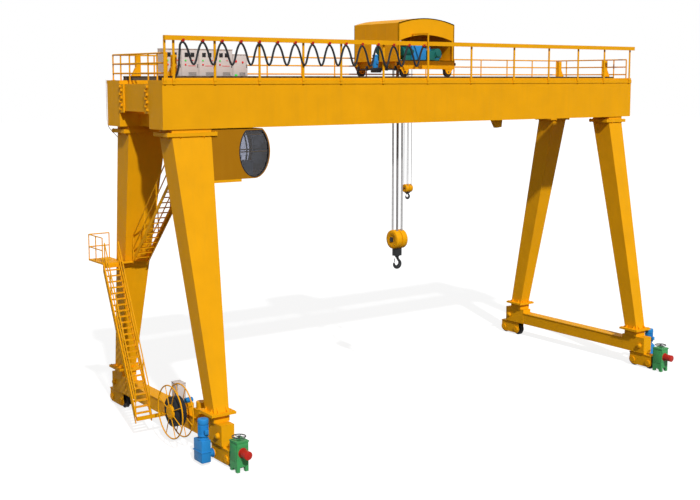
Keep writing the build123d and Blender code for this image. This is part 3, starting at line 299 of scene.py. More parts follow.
@dataclass
class Shape:
    """One piece in the making: solids are added to a bmesh, which then becomes an object."""

    name: str
    finish: Coating
    mesh: bmesh.types.BMesh = field(default_factory=bmesh.new)

    def box(self, low: Point, high: Point, bevel: float = 0.0) -> None:
        """Add a box between two corners, with rounded edges where bevel is above zero."""
        size = Vector(high) - Vector(low)
        place = Matrix.Translation((Vector(high) + Vector(low)) / 2) @ Matrix.Diagonal((*size, 1.0))
        made = bmesh.ops.create_cube(self.mesh, size=1.0, matrix=place)
        if bevel > 0.0:
            self._bevel({e for v in made["verts"] for e in v.link_edges}, bevel, 2)

    def boxes(self, rows: Iterable[tuple[Point, Point, float]]) -> None:
        """Add a box for each row of low corner, high corner and bevel."""
        for row in rows:
            self.box(*row)

    def bar(
        self, start: Point, end: Point, radius: float, sides: int = 16,
        end_radius: float | None = None, bevel: float = 0.0,
    ) -> None:
        """Add a round or few-sided bar.

        Args:
            start: Centre of the first end.
            end: Centre of the second end.
            radius: Radius at the first end.
            sides: Number of faces around it.
            end_radius: Radius at the second end, if it is tapered.
            bevel: Rounding of the end edges.
        """
        axis = Vector(end) - Vector(start)
        made = bmesh.ops.create_cone(
            self.mesh, cap_ends=True, cap_tris=False, segments=sides, radius1=radius,
            radius2=radius if end_radius is None else end_radius, depth=axis.length,
            matrix=facing((Vector(start) + Vector(end)) / 2, axis),
        )
        if bevel > 0.0:
            edges = {e for v in made["verts"] for e in v.link_edges}
            self._bevel({e for e in edges if any(len(f.verts) > 4 for f in e.link_faces)}, bevel, 3)

    def stack(self, x: float, y: float, sides: int, steps: Iterable[tuple[float, float, float, float]]) -> None:
        """Add upright discs for rows of lower end, upper end, radius and bevel."""
        for low, high, radius, bevel in steps:
            self.bar((x, y, low), (x, y, high), radius, sides, bevel=bevel)

    def fins(self, xs: Iterable[float], half: float, y: float, z: float, radius: float, sides: int = 32) -> None:
        """Add the cooling fins of a lying motor, each half as thick as given on either side."""
        for x in xs:
            self.bar((x - half, y, z), (x + half, y, z), radius, sides)

    def ribs(self, spots: Iterable[Vector], half: float) -> None:
        """Add the upright cooling ribs of a standing motor through these spots."""
        reach = Vector((0.0, 0.0, half))
        for spot in spots:
            self.bar(spot - reach, spot + reach, 0.008, 4)

    def ring(
        self, centre: Point, axis: Point, radius: float, thickness: float, sides: int = 8, steps: int = 40
    ) -> None:
        """Add a round ring, spun from a small circle.

        Args:
            centre: Middle of the ring.
            axis: Direction that it is turned about.
            radius: Radius to the middle of its section.
            thickness: Radius of its section.
            sides: Faces around the section.
            steps: Faces around the ring.
        """
        place = (
            facing(centre, axis) @ Matrix.Translation((radius, 0.0, 0.0)) @ Matrix.Rotation(math.pi / 2, 4, "X")
        )
        section = bmesh.ops.create_circle(self.mesh, segments=sides, radius=thickness, matrix=place)["verts"]
        self._spin(section + list({e for v in section for e in v.link_edges}), centre, axis, steps)

    def lathe(self, centre: Point, axis: Point, outline: Sequence[tuple[float, float]], steps: int = 40) -> None:
        """Turn an outline of (radius, height) pairs about an axis through centre."""
        place = facing(centre, axis)
        corners = [self.mesh.verts.new(place @ Vector((radius, 0.0, height))) for radius, height in outline]
        edges = [self.mesh.edges.new(pair) for pair in zip(corners, corners[1:])]
        self._spin(corners + edges, centre, axis, steps)

    def prism(self, outline: Sequence[Point], depth: Point) -> None:
        """Add a flat outline of points, drawn out by the given depth."""
        near = [self.mesh.verts.new(point) for point in outline]
        far = [self.mesh.verts.new(Vector(point) + Vector(depth)) for point in outline]
        self.mesh.faces.new(near)
        self.mesh.faces.new(far)
        for corners in zip(near, near[1:] + near[:1], far[1:] + far[:1], far):
            self.mesh.faces.new(corners)

    def bolts(self, places: Iterable[Point], axis: Point, across: float) -> None:
        """Add a hexagon bolt head on its washer at each place."""
        out = Vector(axis).normalized() * across
        for base in map(Vector, places):
            self.bar(base, base + out * 0.12, across * 0.72, 12)
            self.bar(base + out * 0.12, base + out * 0.62, across * 0.5, 6, across * 0.46)

    def add(self, body: str, slot: str, sharp: float = 38.0) -> bpy.types.Object:
        """Turn the mesh into an object that rides on a body.

        Args:
            body: CAD body that the piece moves with, or an empty string for one that is left without a parent.
            slot: Material slot of the record; not used.
            sharp: Edges sharper than this angle in degrees stay sharp.

        Returns:
            The finished object.
        """
        bmesh.ops.remove_doubles(self.mesh, verts=self.mesh.verts, dist=1e-5)
        bmesh.ops.recalc_face_normals(self.mesh, faces=self.mesh.faces)
        data = bpy.data.meshes.new(self.name)
        self.mesh.to_mesh(data)
        self.mesh.free()
        made = finished(self.name, data, self.finish, sharp)
        if body:
            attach(made, body)
        log.info("%s: %d faces on %s", self.name, len(data.polygons), body or "two bodies")
        return made

    def _bevel(self, edges: Iterable[bmesh.types.BMEdge], offset: float, segments: int) -> None:
        """Round the given edges."""
        bmesh.ops.bevel(self.mesh, geom=list(edges), offset=offset, segments=segments, profile=0.5,
                        affect="EDGES", material=-1)

    def _spin(self, geom: list, centre: Point, axis: Point, steps: int) -> None:
        """Turn vertices and edges once around an axis through centre."""
        bmesh.ops.spin(self.mesh, geom=geom, cent=centre, axis=Vector(axis).normalized(),
                       angle=2 * math.pi, steps=steps, use_merge=True)


def swept(name: str, points: Sequence[Point], radius: float, finish: Finish, sides: int = 3,
          widths: Sequence[float] | None = None, resolution: int = 8) -> bpy.types.Object:
    """Sweep a round section along one smooth spline and return it as a mesh object.

    Args:
        name: Name of the piece.
        points: Control points of the spline.
        radius: Radius of the section.
        finish: Its finish.
        sides: Bevel resolution of the section.
        widths: Radius factor at each control point, if the section changes.
        resolution: Steps between control points.

    Returns:
        The swept piece, with its place in its mesh.
    """
    curve = bpy.data.curves.new(name + "_path", "CURVE")
    curve.dimensions = "3D"
    curve.bevel_depth = radius
    curve.bevel_resolution = sides
    curve.use_fill_caps = True
    spline = curve.splines.new("NURBS")
    spline.points.add(len(points) - 1)
    for knot, point, width in zip(spline.points, points, widths or [1.0] * len(points)):
        knot.co = (*point, 1.0)
        knot.radius = width
    spline.order_u = 3
    spline.use_endpoint_u = True
    spline.resolution_u = resolution
    carrier = put(name + "_path", curve)
    bpy.context.view_layer.update()
    mesh = bpy.data.meshes.new_from_object(carrier.evaluated_get(bpy.context.evaluated_depsgraph_get()))
    bpy.data.objects.remove(carrier)
    return finished(name, mesh, finish, 50.0)


# ---------------------------------------------------------------- studio


@dataclass
class Studio:
    """The pale floor, the white surround, the sun and the camera."""

    lens: float = 56.93
    place: Point = (-30.228, -38.0125, 13.652)
    azimuth: float = 35.89
    pitch: float = -6.754
    shift: tuple[float, float] = (0.00343, -0.05714)
    floor_size: float = 600.0
    floor_tone: tuple[float, float] = (0.11, 0.34)
    floor_glow: float = 0.8
    sky_strength: float = 0.38
    sun_toward: Point = (-0.35, -1.0, 0.85)
    sun_strength: float = 3.1
    sun_degrees: float = 2.0

    def build(self) -> None:
        """Make the surround, sun, floor and camera."""
        self._world()
        self._sun()
        self._floor()
        self._camera()
        log.info("studio ready")

    def _white(self, tree: bpy.types.NodeTree) -> bpy.types.NodeSocket:
        """Return 1 for camera, glossy and transmission rays, and 0 for the rest."""
        path = node(tree, "LightPath").outputs
        shiny = {"0": path["Is Camera Ray"], "1": path["Is Transmission Ray"]}
        both = {"0": node(tree, "Math", shiny, operation="MAXIMUM").outputs[0], "1": path["Is Glossy Ray"]}
        return node(tree, "Math", both, operation="MAXIMUM").outputs[0]

    def _world(self) -> None:
        """White surround that lights the crane at a plain level."""
        world = bpy.data.worlds.new("surround")
        bpy.context.scene.world = world
        tree = empty_tree(world)
        strength = ranged(tree, self._white(tree), self.sky_strength, 1.0)
        light = node(tree, "Background", {"Color": (1.0, 1.0, 1.0, 1.0), "Strength": strength})
        node(tree, "OutputWorld", {"Surface": light.outputs["Background"]})

    def _sun(self) -> None:
        """Sun lamp, high on the cable side."""
        data = bpy.data.lights.new("key_lamp", "SUN")
        data.energy = self.sun_strength
        data.angle = math.radians(self.sun_degrees)
        lamp = put("key_lamp", data)
        lamp.rotation_mode = "QUATERNION"
        lamp.rotation_quaternion = Vector(self.sun_toward).to_track_quat("Z", "Y")
        lamp.location = Vector(self.sun_toward) * 40.0

    def _floor(self) -> None:
        """White floor that keeps a faint shadow of the crane."""
        shape = bmesh.new()
        bmesh.ops.create_grid(shape, x_segments=1, y_segments=1, size=self.floor_size / 2)
        mesh = bpy.data.meshes.new("studio_floor")
        shape.to_mesh(mesh)
        shape.free()
        floor = put("studio_floor", mesh)
        made = bpy.data.materials.new("floor_white")
        tree = empty_tree(made)
        seen = self._white(tree)
        dark, light = ((tone, tone, tone, 1.0) for tone in self.floor_tone)
        tone = node(tree, "Mix", {"Factor": seen, "A": dark, "B": light}, data_type="RGBA").outputs["Result"]
        matte = node(tree, "BsdfDiffuse", {"Color": tone}).outputs["BSDF"]
        glow = node(tree, "Math", {"0": seen, "1": self.floor_glow}, operation="MULTIPLY").outputs[0]
        lit = node(tree, "Emission", {"Strength": glow}).outputs["Emission"]
        both = node(tree, "AddShader", {"0": matte, "1": lit}).outputs["Shader"]
        node(tree, "OutputMaterial", {"Surface": both})
        mesh.materials.append(made)

    def _camera(self) -> None:
        """Camera at the photograph's viewing angle."""
        data = bpy.data.cameras.new("camera")
        data.sensor_fit = "HORIZONTAL"
        data.sensor_width = 36.0
        data.lens = self.lens
        data.shift_x, data.shift_y = self.shift
        data.clip_end = 1000.0
        camera = put("camera", data)
        camera.location = self.place
        camera.rotation_euler = (math.radians(90.0 + self.pitch), 0.0, math.radians(-self.azimuth))
        bpy.context.scene.camera = camera


# ---------------------------------------------------------------- dressing the CAD nodes


@dataclass
class Dresser:
    """Gives every carried-over CAD node the finish of its material slot, except the cab's shell, which gets amber
    darkened with painted shade.
    """

    frame: dict

    def dress(self) -> None:
        """Assign the finishes; the cab's shell gets a darkened amber, painted shade for the shadow it hangs in under
        the girders.
        """
        slots = {entry["node"]: entry["material_slot"] for entry in self.frame["record"]["subparts"]}
        for name, piece in self.frame["nodes"].items():
            # The cab's shell takes the darkened amber: painted shade, not a paint of its own.
            finish = CAB_AMBER_PAINTED_SHADE if name == "cab_shell" else CAD_FINISHES[slots[name]]
            piece.data.materials.clear()
            piece.data.materials.append(finish.material())
        log.info("dressed %d nodes", len(slots))


# ---------------------------------------------------------------- fixed steelwork


@dataclass
class Portal:
    """Bolts, plates, channels and handrails on the girders, legs, sills and bogies."""

    head_half: tuple[float, float] = (1.02, 0.67)
    head_z: tuple[float, float] = (11.59, 11.73)
    head_y: float = 1.81
    foot_y: float = 3.87
    foot_z: float = 1.81
    girder_end: float = 12.5
    post_x: tuple[float, ...] = (-12.41, -12.06, -10.4, -8.51, -6.55, -4.77, -2.67, -0.33, 2.08, 4.61,
                                 6.79, 8.71, 10.5, 12.3)
    post_face: float = -2.42
    walkway_z: float = 13.6
    rail_levels: tuple[float, ...] = (13.86, 14.22, 14.57)
    rail_reach: float = 12.25
    rail_y: float = 2.32
    tube: float = 0.03
    bogie_y: float = 4.4
    half_base: float = 0.45

    def build(self) -> None:
        """Make the bolt rows, post feet, channels, handrails and axle caps."""
        self._flange_bolts()
        self._end_strips()
        self._post_feet()
        self._stair_channels()
        self._handrails()
        self._bogie_caps()

    def _flange_bolts(self) -> None:
        """Bolt heads around the flanges at the feet and the heads of the legs."""
        heads = Shape("leg_flange_bolts", AMBER)
        for (x, half), side in product(zip(LEG_X, self.head_half), SIDES):
            foot, top = side * self.foot_y, side * self.head_y
            for reach, edge in product(spread(-0.43, 0.43, 5), (-0.45, 0.45)):
                for dx, dy in ((reach, edge), (edge, reach)):
                    heads.bolts([(x + dx, foot + dy, self.foot_z)], UP, 0.05)
            for reach, edge in product(spread(-half + 0.07, half - 0.07, 8), (-0.53, 0.53)):
                for z, axis in zip(self.head_z, (DOWN, UP)):
                    heads.bolts([(x + reach, top + edge, z)], axis, 0.036)
        heads.add("portal", "amber_paint")

    def _end_strips(self) -> None:
        """Two staggered bolt rows on each strip that holds an end beam."""
        heads = Shape("end_strip_bolts", AMBER)
        for end, side in product(SIDES, SIDES):
            rows = [(end * self.girder_end, side * (1.03 if level % 2 else 1.15), z)
                    for level, z in enumerate(spread(12.52, 13.36, 7))]
            heads.bolts(rows, (end, 0, 0), 0.11)
        heads.add("portal", "amber_paint")

    def _post_feet(self) -> None:
        """Foot plates of the festoon posts, and bolted ones of the handrail posts."""
        feet = Shape("post_feet", AMBER)
        for x in self.post_x:
            feet.box((x - 0.055, self.post_face - 0.008, 13.55), (x + 0.055, self.post_face + 0.04, 13.66), 0.004)
            feet.bolts([(x, self.post_face, z) for z in (15.12, 15.16)], (0, 1, 0), 0.02)
        plate_z = self.walkway_z + 0.012
        for x in spread(-self.rail_reach, self.rail_reach, 15):
            feet.box((x - 0.06, 2.26, self.walkway_z), (x + 0.06, 2.38, plate_z), 0.003)
            feet.bolts(((x - 0.04, 2.28, plate_z), (x + 0.04, 2.28, plate_z)), UP, 0.022)
        feet.add("portal", "amber_paint")

    def _stair_channels(self) -> None:
        """Channels over the stair stringers and the landing's edge, the toe plate and the conduit."""
        steel = Shape("stair_channels", AMBER)
        lower = ((-0.25, 0.85), (2.4, 6.34))
        upper = ((2.25, 6.45), (-1.1, 9.83))
        for near, web, (foot, top) in ((-12.85, 0.0, lower), (-12.2, 0.038, lower), (-11.05, 0.038, upper)):
            for low, high, x, wide in ((-0.2, 0.11, near + web, 0.012), (-0.2, -0.165, near, 0.05),
                                       (0.075, 0.11, near, 0.05)):
                steel.prism([(x, foot[0], foot[1] + low), (x, top[0], top[1] + low),
                             (x, top[0], top[1] + high), (x, foot[0], foot[1] + high)], (wide, 0.0, 0.0))
        end = self.girder_end
        steel.boxes((((-12.85, 2.388, 6.25), (-11.94, 2.4, 6.45), 0.003),
                     ((-end, -2.36, self.walkway_z), (end, -2.345, 13.69), 0.003)))
        steel.add("portal", "amber_paint")
        path = [(-12.53, 2.375, 13.62), (-12.53, 2.375, 12.6), (-12.53, 2.375, 11.95),
                (-12.45, 2.375, 11.75), (-12.2, 2.36, 11.48), (-11.98, 2.34, 11.27)]
        conduit = swept("rear_girder_conduit", path, 0.013, CABINET, 2)
        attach(conduit, "portal")

    def _handrails(self) -> None:
        """Round tubes of the handrails along the rear girder and across both ends."""
        tubes = Shape("handrail_tubes", AMBER)
        reach, back, low, high = self.rail_reach, self.rail_y, self.walkway_z, self.rail_levels[-1]
        for z in self.rail_levels:
            tubes.bar((-reach, back, z), (reach, back, z), self.tube, 10)
            for x in (-reach, reach):
                tubes.bar((x, back, z), (x, -2.25, z), self.tube, 10)
        posts = [(x, back, low) for x in spread(-reach, reach, 15)]
        across = ((1.62, low), (-1.48, low), (-2.25, low), (0.83, 13.4), (-0.75, 13.4))
        posts += [(x, y, foot) for x in (-reach, reach) for y, foot in across]
        for x, y, foot in posts:
            tubes.bar((x, y, foot), (x, y, high), self.tube, 10)
        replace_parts(tubes.add("portal", "amber_paint"), "walkway_handrails")

    def _bogie_caps(self) -> None:
        """Domed covers of the bogie pins and the bolt circles of the axle caps."""
        caps = Shape("bogie_caps", AMBER)
        dome = ((0.105, 0.0), (0.1, 0.02), (0.07, 0.045), (0.0, 0.055))
        for x, side, out in product(LEG_X, SIDES, SIDES):
            middle, axis = side * self.bogie_y, (out, 0, 0)
            caps.lathe((x + out * 0.32, middle, 1.04), axis, dome, 24)
            for y in (middle - self.half_base, middle + self.half_base):
                caps.bolts(around((x + out * 0.24, y, 0.3), axis, 0.095, 6), axis, 0.024)
        caps.add("portal", "amber_paint")


@dataclass
class ControlCabinets:
    """Doors, meters, lamps and handles of the grey cabinets."""

    first_x: float = -10.39
    pitch: float = 0.78
    width: float = 0.77
    last_width: float = 0.7
    front_y: float = 1.73
    back_y: float = 2.25
    base_z: float = 13.6
    top_z: float = 14.82
    last_top_z: float = 14.63

    def build(self) -> None:
        """Make the doors and everything on them, and those of the cabinet at the stair's foot."""
        doors, dark = Shape("cabinet_doors", CABINET), Shape("cabinet_meters", DARK_TRIM)
        green, red = Shape("cabinet_green_lamps", GREEN_LAMP), Shape("cabinet_red_lamps", RED_LAMP)
        for left in (self.first_x + self.pitch * index for index in range(4)):
            self._case(doors, dark, left, left + self.width, self.top_z)
            self._tall_front(dark, green, red, left)
        left, top = self.first_x + self.pitch * 4, self.last_top_z
        self._case(doors, dark, left, left + self.last_width, top)
        self._lamps(red, left, top, ((0.13, 0.26, 0.05, 0.05), (0.45, 0.3, 0.05, 0.04)))
        low, y = self.base_z + 0.12, self.front_y
        green.box((left + 0.07, y - 0.04, low), (left + 0.2, y - 0.02, low + 0.12), 0.01)
        doors.boxes((((-11.49, -1.165, 1.3), (-11.17, -1.15, 2.12), 0.006),
                     ((-11.515, -1.17, 2.15), (-11.145, -0.63, 2.18), 0.008)))
        dark.box((-11.515, -1.0, 1.7), (-11.5, -0.95, 1.84), 0.004)
        for shape in (doors, dark, green, red):
            shape.add("portal", "cabinet_grey")

    def _case(self, doors: Shape, dark: Shape, left: float, right: float, top: float) -> None:
        """Add the front door, roof, back panel, handle and louvres of one cabinet."""
        y, back, base = self.front_y, self.back_y, self.base_z
        doors.boxes((((left + 0.015, y - 0.022, base + 0.05), (right - 0.015, y, top - 0.04), 0.006),
                     ((left - 0.005, y - 0.03, top), (right + 0.005, back, top + 0.03), 0.006),
                     ((left + 0.015, back - 0.02, base + 0.05), (right - 0.015, back, top - 0.04), 0.006)))
        dark.box((right - 0.07, y - 0.045, base + 0.5), (right - 0.045, y - 0.02, base + 0.64), 0.005)
        for slat in spread(base + 0.16, base + 0.3, 5):
            dark.box((left + 0.3, y - 0.026, slat), (right - 0.12, y - 0.021, slat + 0.012))
            dark.box((left + 0.15, back - 0.001, slat), (right - 0.15, back + 0.006, slat + 0.012))

    def _tall_front(self, dark: Shape, green: Shape, red: Shape, left: float) -> None:
        """Add two meters, four lamps and the red strip of one tall cabinet."""
        y, top = self.front_y, self.top_z
        for meter in (left + 0.14, left + 0.4):
            dark.box((meter, y - 0.034, top - 0.3), (meter + 0.17, y - 0.02, top - 0.13), 0.006)
        self._lamps(green, left, top, ((0.17, 0.44, 0.05, 0.032),))
        self._lamps(red, left, top, ((0.5, 0.43, 0.045, 0.022), (0.6, 0.43, 0.045, 0.022), (0.17, 0.6, 0.05, 0.035)))
        red.box((left + 0.28, y - 0.03, top - 0.66), (left + 0.62, y - 0.02, top - 0.64))

    def _lamps(self, shape: Shape, left: float, top: float, rows: Iterable[tuple[float, ...]]) -> None:
        """Add lamps for rows of place to the right, place below the top, reach and radius."""
        for right, below, reach, radius in rows:
            x, z = left + right, top - below
            shape.bar((x, self.front_y - 0.022, z), (x, self.front_y - reach, z), radius)


@dataclass
class DriverCab:
    """Window rims, glazing bars and the fittings inside the driver's cab."""

    centre_x: float = -8.71
    centre_z: float = 10.95
    radius_x: float = 0.63
    radius_z: float = 0.945
    window_top: float = 11.73
    near_y: float = -2.3
    far_y: float = -0.9
    floor_z: float = 9.985
    desk_z: float = 10.62

    def build(self) -> None:
        """Make the rims, the bars and the inside."""
        self._rims()
        self._bars()
        self._inside()

    def _rims(self) -> None:
        """Rubber window seals around the oval panes."""
        seals = Shape("cab_window_seals", RUBBER)
        lift = math.asin((self.window_top - self.centre_z) / self.radius_z)
        rim = [(self.centre_x + self.radius_x * math.cos(a), self.centre_z + self.radius_z * math.sin(a))
               for a in spread(math.pi - lift, 2 * math.pi + lift, 64)]
        for y in (self.near_y, self.far_y):
            for (x0, z0), (x1, z1) in zip(rim, rim[1:] + rim[:1]):
                seals.bar((x0, y, z0), (x1, y, z1), 0.022, 8)
        seals.add("portal", "cable_rubber")

    def _bars(self) -> None:
        """The bar across the windows, its guard and the curved pillar."""
        bars = Shape("cab_window_bars", AMBER)
        bars.bar((-8.36, self.near_y + 0.1, 11.6), (-8.36, self.far_y - 0.1, 11.6), 0.03, 10)
        for y in (self.near_y + 0.09, self.far_y - 0.09):
            bars.bar((-9.32, y, 10.94), (-8.1, y, 10.94), 0.022, 10)
            bars.bar((-9.05, y, 11.58), (-8.3, y, 11.58), 0.018, 10)
        bars.add("portal", "amber_paint")
        pillar = swept("cab_pillar", [(-9.1, -2.2, 11.7), (-9.0, -2.2, 11.3), (-8.97, -2.2, 11.0),
                                      (-8.98, -2.2, 10.75), (-9.02, -2.2, 10.6)], 0.028, DARK_TRIM)
        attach(pillar, "portal")

    def _inside(self) -> None:
        """Floor mat, seat, consoles and their levers."""
        floor, near, far, desk_z = self.floor_z, self.near_y, self.far_y, self.desk_z
        mat = Shape("cab_floor_mat", RUBBER)
        mat.box((-10.4, near + 0.08, floor), (-8.55, far - 0.08, floor + 0.012))
        for rib in spread(-10.35, -8.6, 28):
            mat.box((rib - 0.008, near + 0.1, floor + 0.012), (rib + 0.008, far - 0.1, floor + 0.018))
        mat.add("portal", "cable_rubber")
        seat = Shape("cab_seat", SEAT_SHELL)
        seat.boxes((((-9.55, -1.86, 10.42), (-9.05, -1.34, 10.54), 0.05),
                    ((-9.66, -1.84, 10.5), (-9.53, -1.36, 11.2), 0.05),
                    ((-9.63, -1.72, 11.2), (-9.54, -1.48, 11.42), 0.04),
                    ((-9.5, -1.94, 10.64), (-9.15, -1.87, 10.69), 0.02),
                    ((-9.5, -1.33, 10.64), (-9.15, -1.26, 10.69), 0.02)))
        seat.add("portal", "cable_rubber")
        desk, low = Shape("cab_consoles", CONSOLE), floor + 0.01
        desk.boxes((((-9.3, -2.2, low), (-8.7, -1.99, desk_z), 0.02),
                    ((-9.3, -1.2, low), (-8.7, -1.0, desk_z), 0.02),
                    ((-9.42, -1.78, low), (-9.2, -1.42, 10.44), 0.03),
                    ((-8.62, -1.9, low), (-8.52, -1.3, 10.4), 0.02)))
        desk.add("portal", "cabinet_grey")
        levers = Shape("cab_levers", DARK_TRIM)
        knob = ((0.0, -0.02), (0.022, -0.005), (0.024, 0.012), (0.0, 0.032))
        for y in (-2.1, -1.1):
            for x in (-9.18, -8.98):
                top = (x + 0.02, y, desk_z + 0.16)
                levers.bar((x, y, desk_z), top, 0.009, 8)
                levers.lathe(top, UP, knob, 12)
            levers.box((-9.12, y - 0.03, desk_z), (-9.06, y + 0.03, desk_z + 0.012), 0.004)
        levers.add("portal", "cable_rubber")


@dataclass
class CableReel:
    """Wound supply cable, hoops, hub plates and bolts of the cable reel."""

    centre: Point = (-12.085, -2.1, 1.47)
    half_width: float = 0.185
    core_radius: float = 0.275
    wound_radius: float = 0.545
    hoop_x: tuple[float, float] = (-12.3, -11.87)
    hoop_radius: float = 0.985

    def build(self) -> None:
        """Make the wound cable, the spoked hoops and the hub plates."""
        x, y, z = self.centre
        core, wound, half = self.core_radius, self.wound_radius, self.half_width
        turns = Shape("reel_winding_turns", RUBBER)
        turns.lathe((x, y, z), SPAN, ((core, -half + 0.03), (wound - 0.02, -half + 0.03),
                                      (wound - 0.02, half - 0.03), (core, half - 0.03)), 40)
        for turn in spread(-half + 0.02, half - 0.02, 10):
            turns.ring((x + turn, y, z), SPAN, wound - 0.006, 0.02, 6, 48)
        for radius, side in product(spread(core + 0.03, wound - 0.03, 7), SIDES):
            turns.ring((x + side * (half - 0.02), y, z), SPAN, radius, 0.019, 6, 48)
        made = turns.add("cable_reel", "cable_rubber")
        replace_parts(made, "reel_winding")
        hoops = Shape("reel_hoops", AMBER)
        for middle in ((hoop_x, y, z) for hoop_x in self.hoop_x):
            hoops.ring(middle, SPAN, self.hoop_radius, 0.026, 10, 72)
            for spot in around(middle, SPAN, self.hoop_radius - 0.005, 8, math.pi / 8):
                hoops.bar(middle, spot, 0.018, 8)
        hoops.add("cable_reel", "amber_paint")
        hub, out = Shape("reel_hub_plates", AMBER), (-1, 0, 0)
        hub.lathe((-12.33, y, z), out, ((0.25, 0.0), (0.25, 0.012), (0.2, 0.02), (0.0, 0.022)), 32)
        hub.bolts(around((-12.35, y, z), out, 0.17, 8), out, 0.03)
        hub.add("cable_reel", "amber_paint")


@dataclass
class TravelDrives:
    """Cast geared motors that turn the inner front wheels, and the reel's motor."""

    axle_y: float = -3.95
    axle_z: float = 0.3
    motor_set_back: float = 0.2
    motor_steps: tuple[tuple[float, float, float, float], ...] = (
        (0.94, 0.99, 0.2, 0.01), (0.98, 1.09, 0.15, 0.0), (1.08, 1.13, 0.2, 0.01),
        (1.12, 1.5, 0.178, 0.0), (1.5, 1.7, 0.196, 0.035))
    reel_motor: tuple[float, float] = (-2.1, 1.8)

    def build(self) -> None:
        """Make both travel drives and the fins of the reel motor."""
        cast = Shape("travel_drive_castings", BLUE)
        for x, side in zip(LEG_X, SIDES):
            self._drive(cast, x, side)
        y, z = self.reel_motor
        cast.bar((-11.7, y, z), (-11.38, y, z), 0.088, 24, bevel=0.015)
        cast.fins(spread(-11.64, -11.44, 9), 0.004, y, z, 0.098, 24)
        made = cast.add("portal", "blue_paint")
        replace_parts(made, "drive_motors")

    def _drive(self, cast: Shape, leg_x: float, side: float) -> None:
        """Add one drive.

        Args:
            cast: The shape that it is added to.
            leg_x: Place of the leg along the span.
            side: Sign of X on which the drive stands.
        """
        y, z = self.axle_y, self.axle_z
        for start, end, radius, bevel in ((0.24, 0.54, 0.125, 0.0), (0.245, 0.275, 0.17, 0.006)):
            cast.bar((leg_x + side * start, y, z), (leg_x + side * end, y, z), radius, 24, bevel=bevel)
        near, far = sorted((leg_x + side * 0.53, leg_x + side * 0.91))
        cast.boxes((((near, y - 0.43, 0.12), (far, y + 0.2, 0.95), 0.045),
                    ((near - 0.02, y - 0.45, 0.5), (far + 0.02, y + 0.22, 0.54), 0.01)))
        cast.bolts([(near + 0.06 + 0.15 * index, y - 0.45, 0.52) for index in range(3)], (0, -1, 0), 0.03)
        x, y = (near + far) / 2, y - self.motor_set_back
        cast.stack(x, y, 32, self.motor_steps)
        cast.ribs(around((x, y, 1.31), UP, 0.184, 28), 0.18)
        cast.box((x - 0.07, y - 0.29, 1.18), (x + 0.07, y - 0.16, 1.34), 0.014)
        cast.bolts(around((x, y, 0.99), UP, 0.176, 8), UP, 0.022)


@dataclass
class RailClamps:
    """Covers, bolts and smooth handwheels of the green rail clamps and their red buffers."""

    front_y: float = -5.67
    middle_y: float = -5.42
    top_z: float = 1.13
    buffer_z: float = 0.72
    wheel_z: float = 1.25

    def build(self) -> None:
        """Dress both clamps."""
        covers, red = Shape("clamp_covers", GREEN), Shape("buffer_flanges", RED)
        front, ahead = self.front_y, (0, -1, 0)
        collar = ((0.09, 0.0), (0.085, 0.018), (0.05, 0.03), (0.046, 0.03))
        flange = ((0.18, 0.0), (0.18, 0.02), (0.158, 0.026))
        face_cap = ((0.153, -0.02), (0.156, 0.0), (0.13, 0.012), (0.0, 0.012))
        for x in LEG_X:
            for side in SIDES:
                face = x + side * 0.23
                plate = face + side * 0.012
                covers.box((min(face, plate), front + 0.05, 0.42), (max(face, plate), -5.22, 1.0), 0.004)
                covers.bolts(product((plate,), (-5.59, -5.26), (0.46, 0.96)), (side, 0, 0), 0.028)
            covers.lathe((x, self.middle_y, self.top_z), UP, collar, 24)
            covers.bolts(product((x - 0.2, x + 0.2), (-5.63, -5.22), (self.top_z,)), UP, 0.03)
            covers.box((x - 0.2, front - 0.014, 0.9), (x + 0.2, front, 1.04), 0.004)
            red.lathe((x, front, self.buffer_z), ahead, flange, 32)
            red.bolts(around((x, front - 0.02, self.buffer_z), ahead, 0.168, 6), ahead, 0.018)
            red.lathe((x, front - 0.39, self.buffer_z), ahead, face_cap, 32)
        covers.add("portal", "green_paint")
        red.add("portal", "red_paint")
        for name, x in zip(("left", "right"), LEG_X):
            self._handwheel(name, x)

    def _handwheel(self, name: str, x: float) -> None:
        """Make one handwheel with its rim, tapered spokes, hub and screw."""
        wheel = Shape(f"handwheel_{name}", HANDWHEEL)
        centre = (x, self.middle_y, self.wheel_z)
        wheel.ring(centre, UP, 0.238, 0.0205, 10, 48)
        wheel.bar((x, self.middle_y, 1.03), (x, self.middle_y, self.wheel_z + 0.03), 0.02, 16)
        wheel.lathe(centre, UP, ((0.02, -0.025), (0.045, -0.022), (0.046, 0.015), (0.03, 0.03), (0.0, 0.03)), 24)
        for spot in around(centre, UP, 0.232, 5):
            wheel.bar(centre, spot, 0.014, 8, 0.01)
        made = wheel.add(f"clamp_handwheel_{name}", "handwheel_iron")
        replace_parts(made, f"clamp_handwheel_{name}")


# ---------------------------------------------------------------- festoon


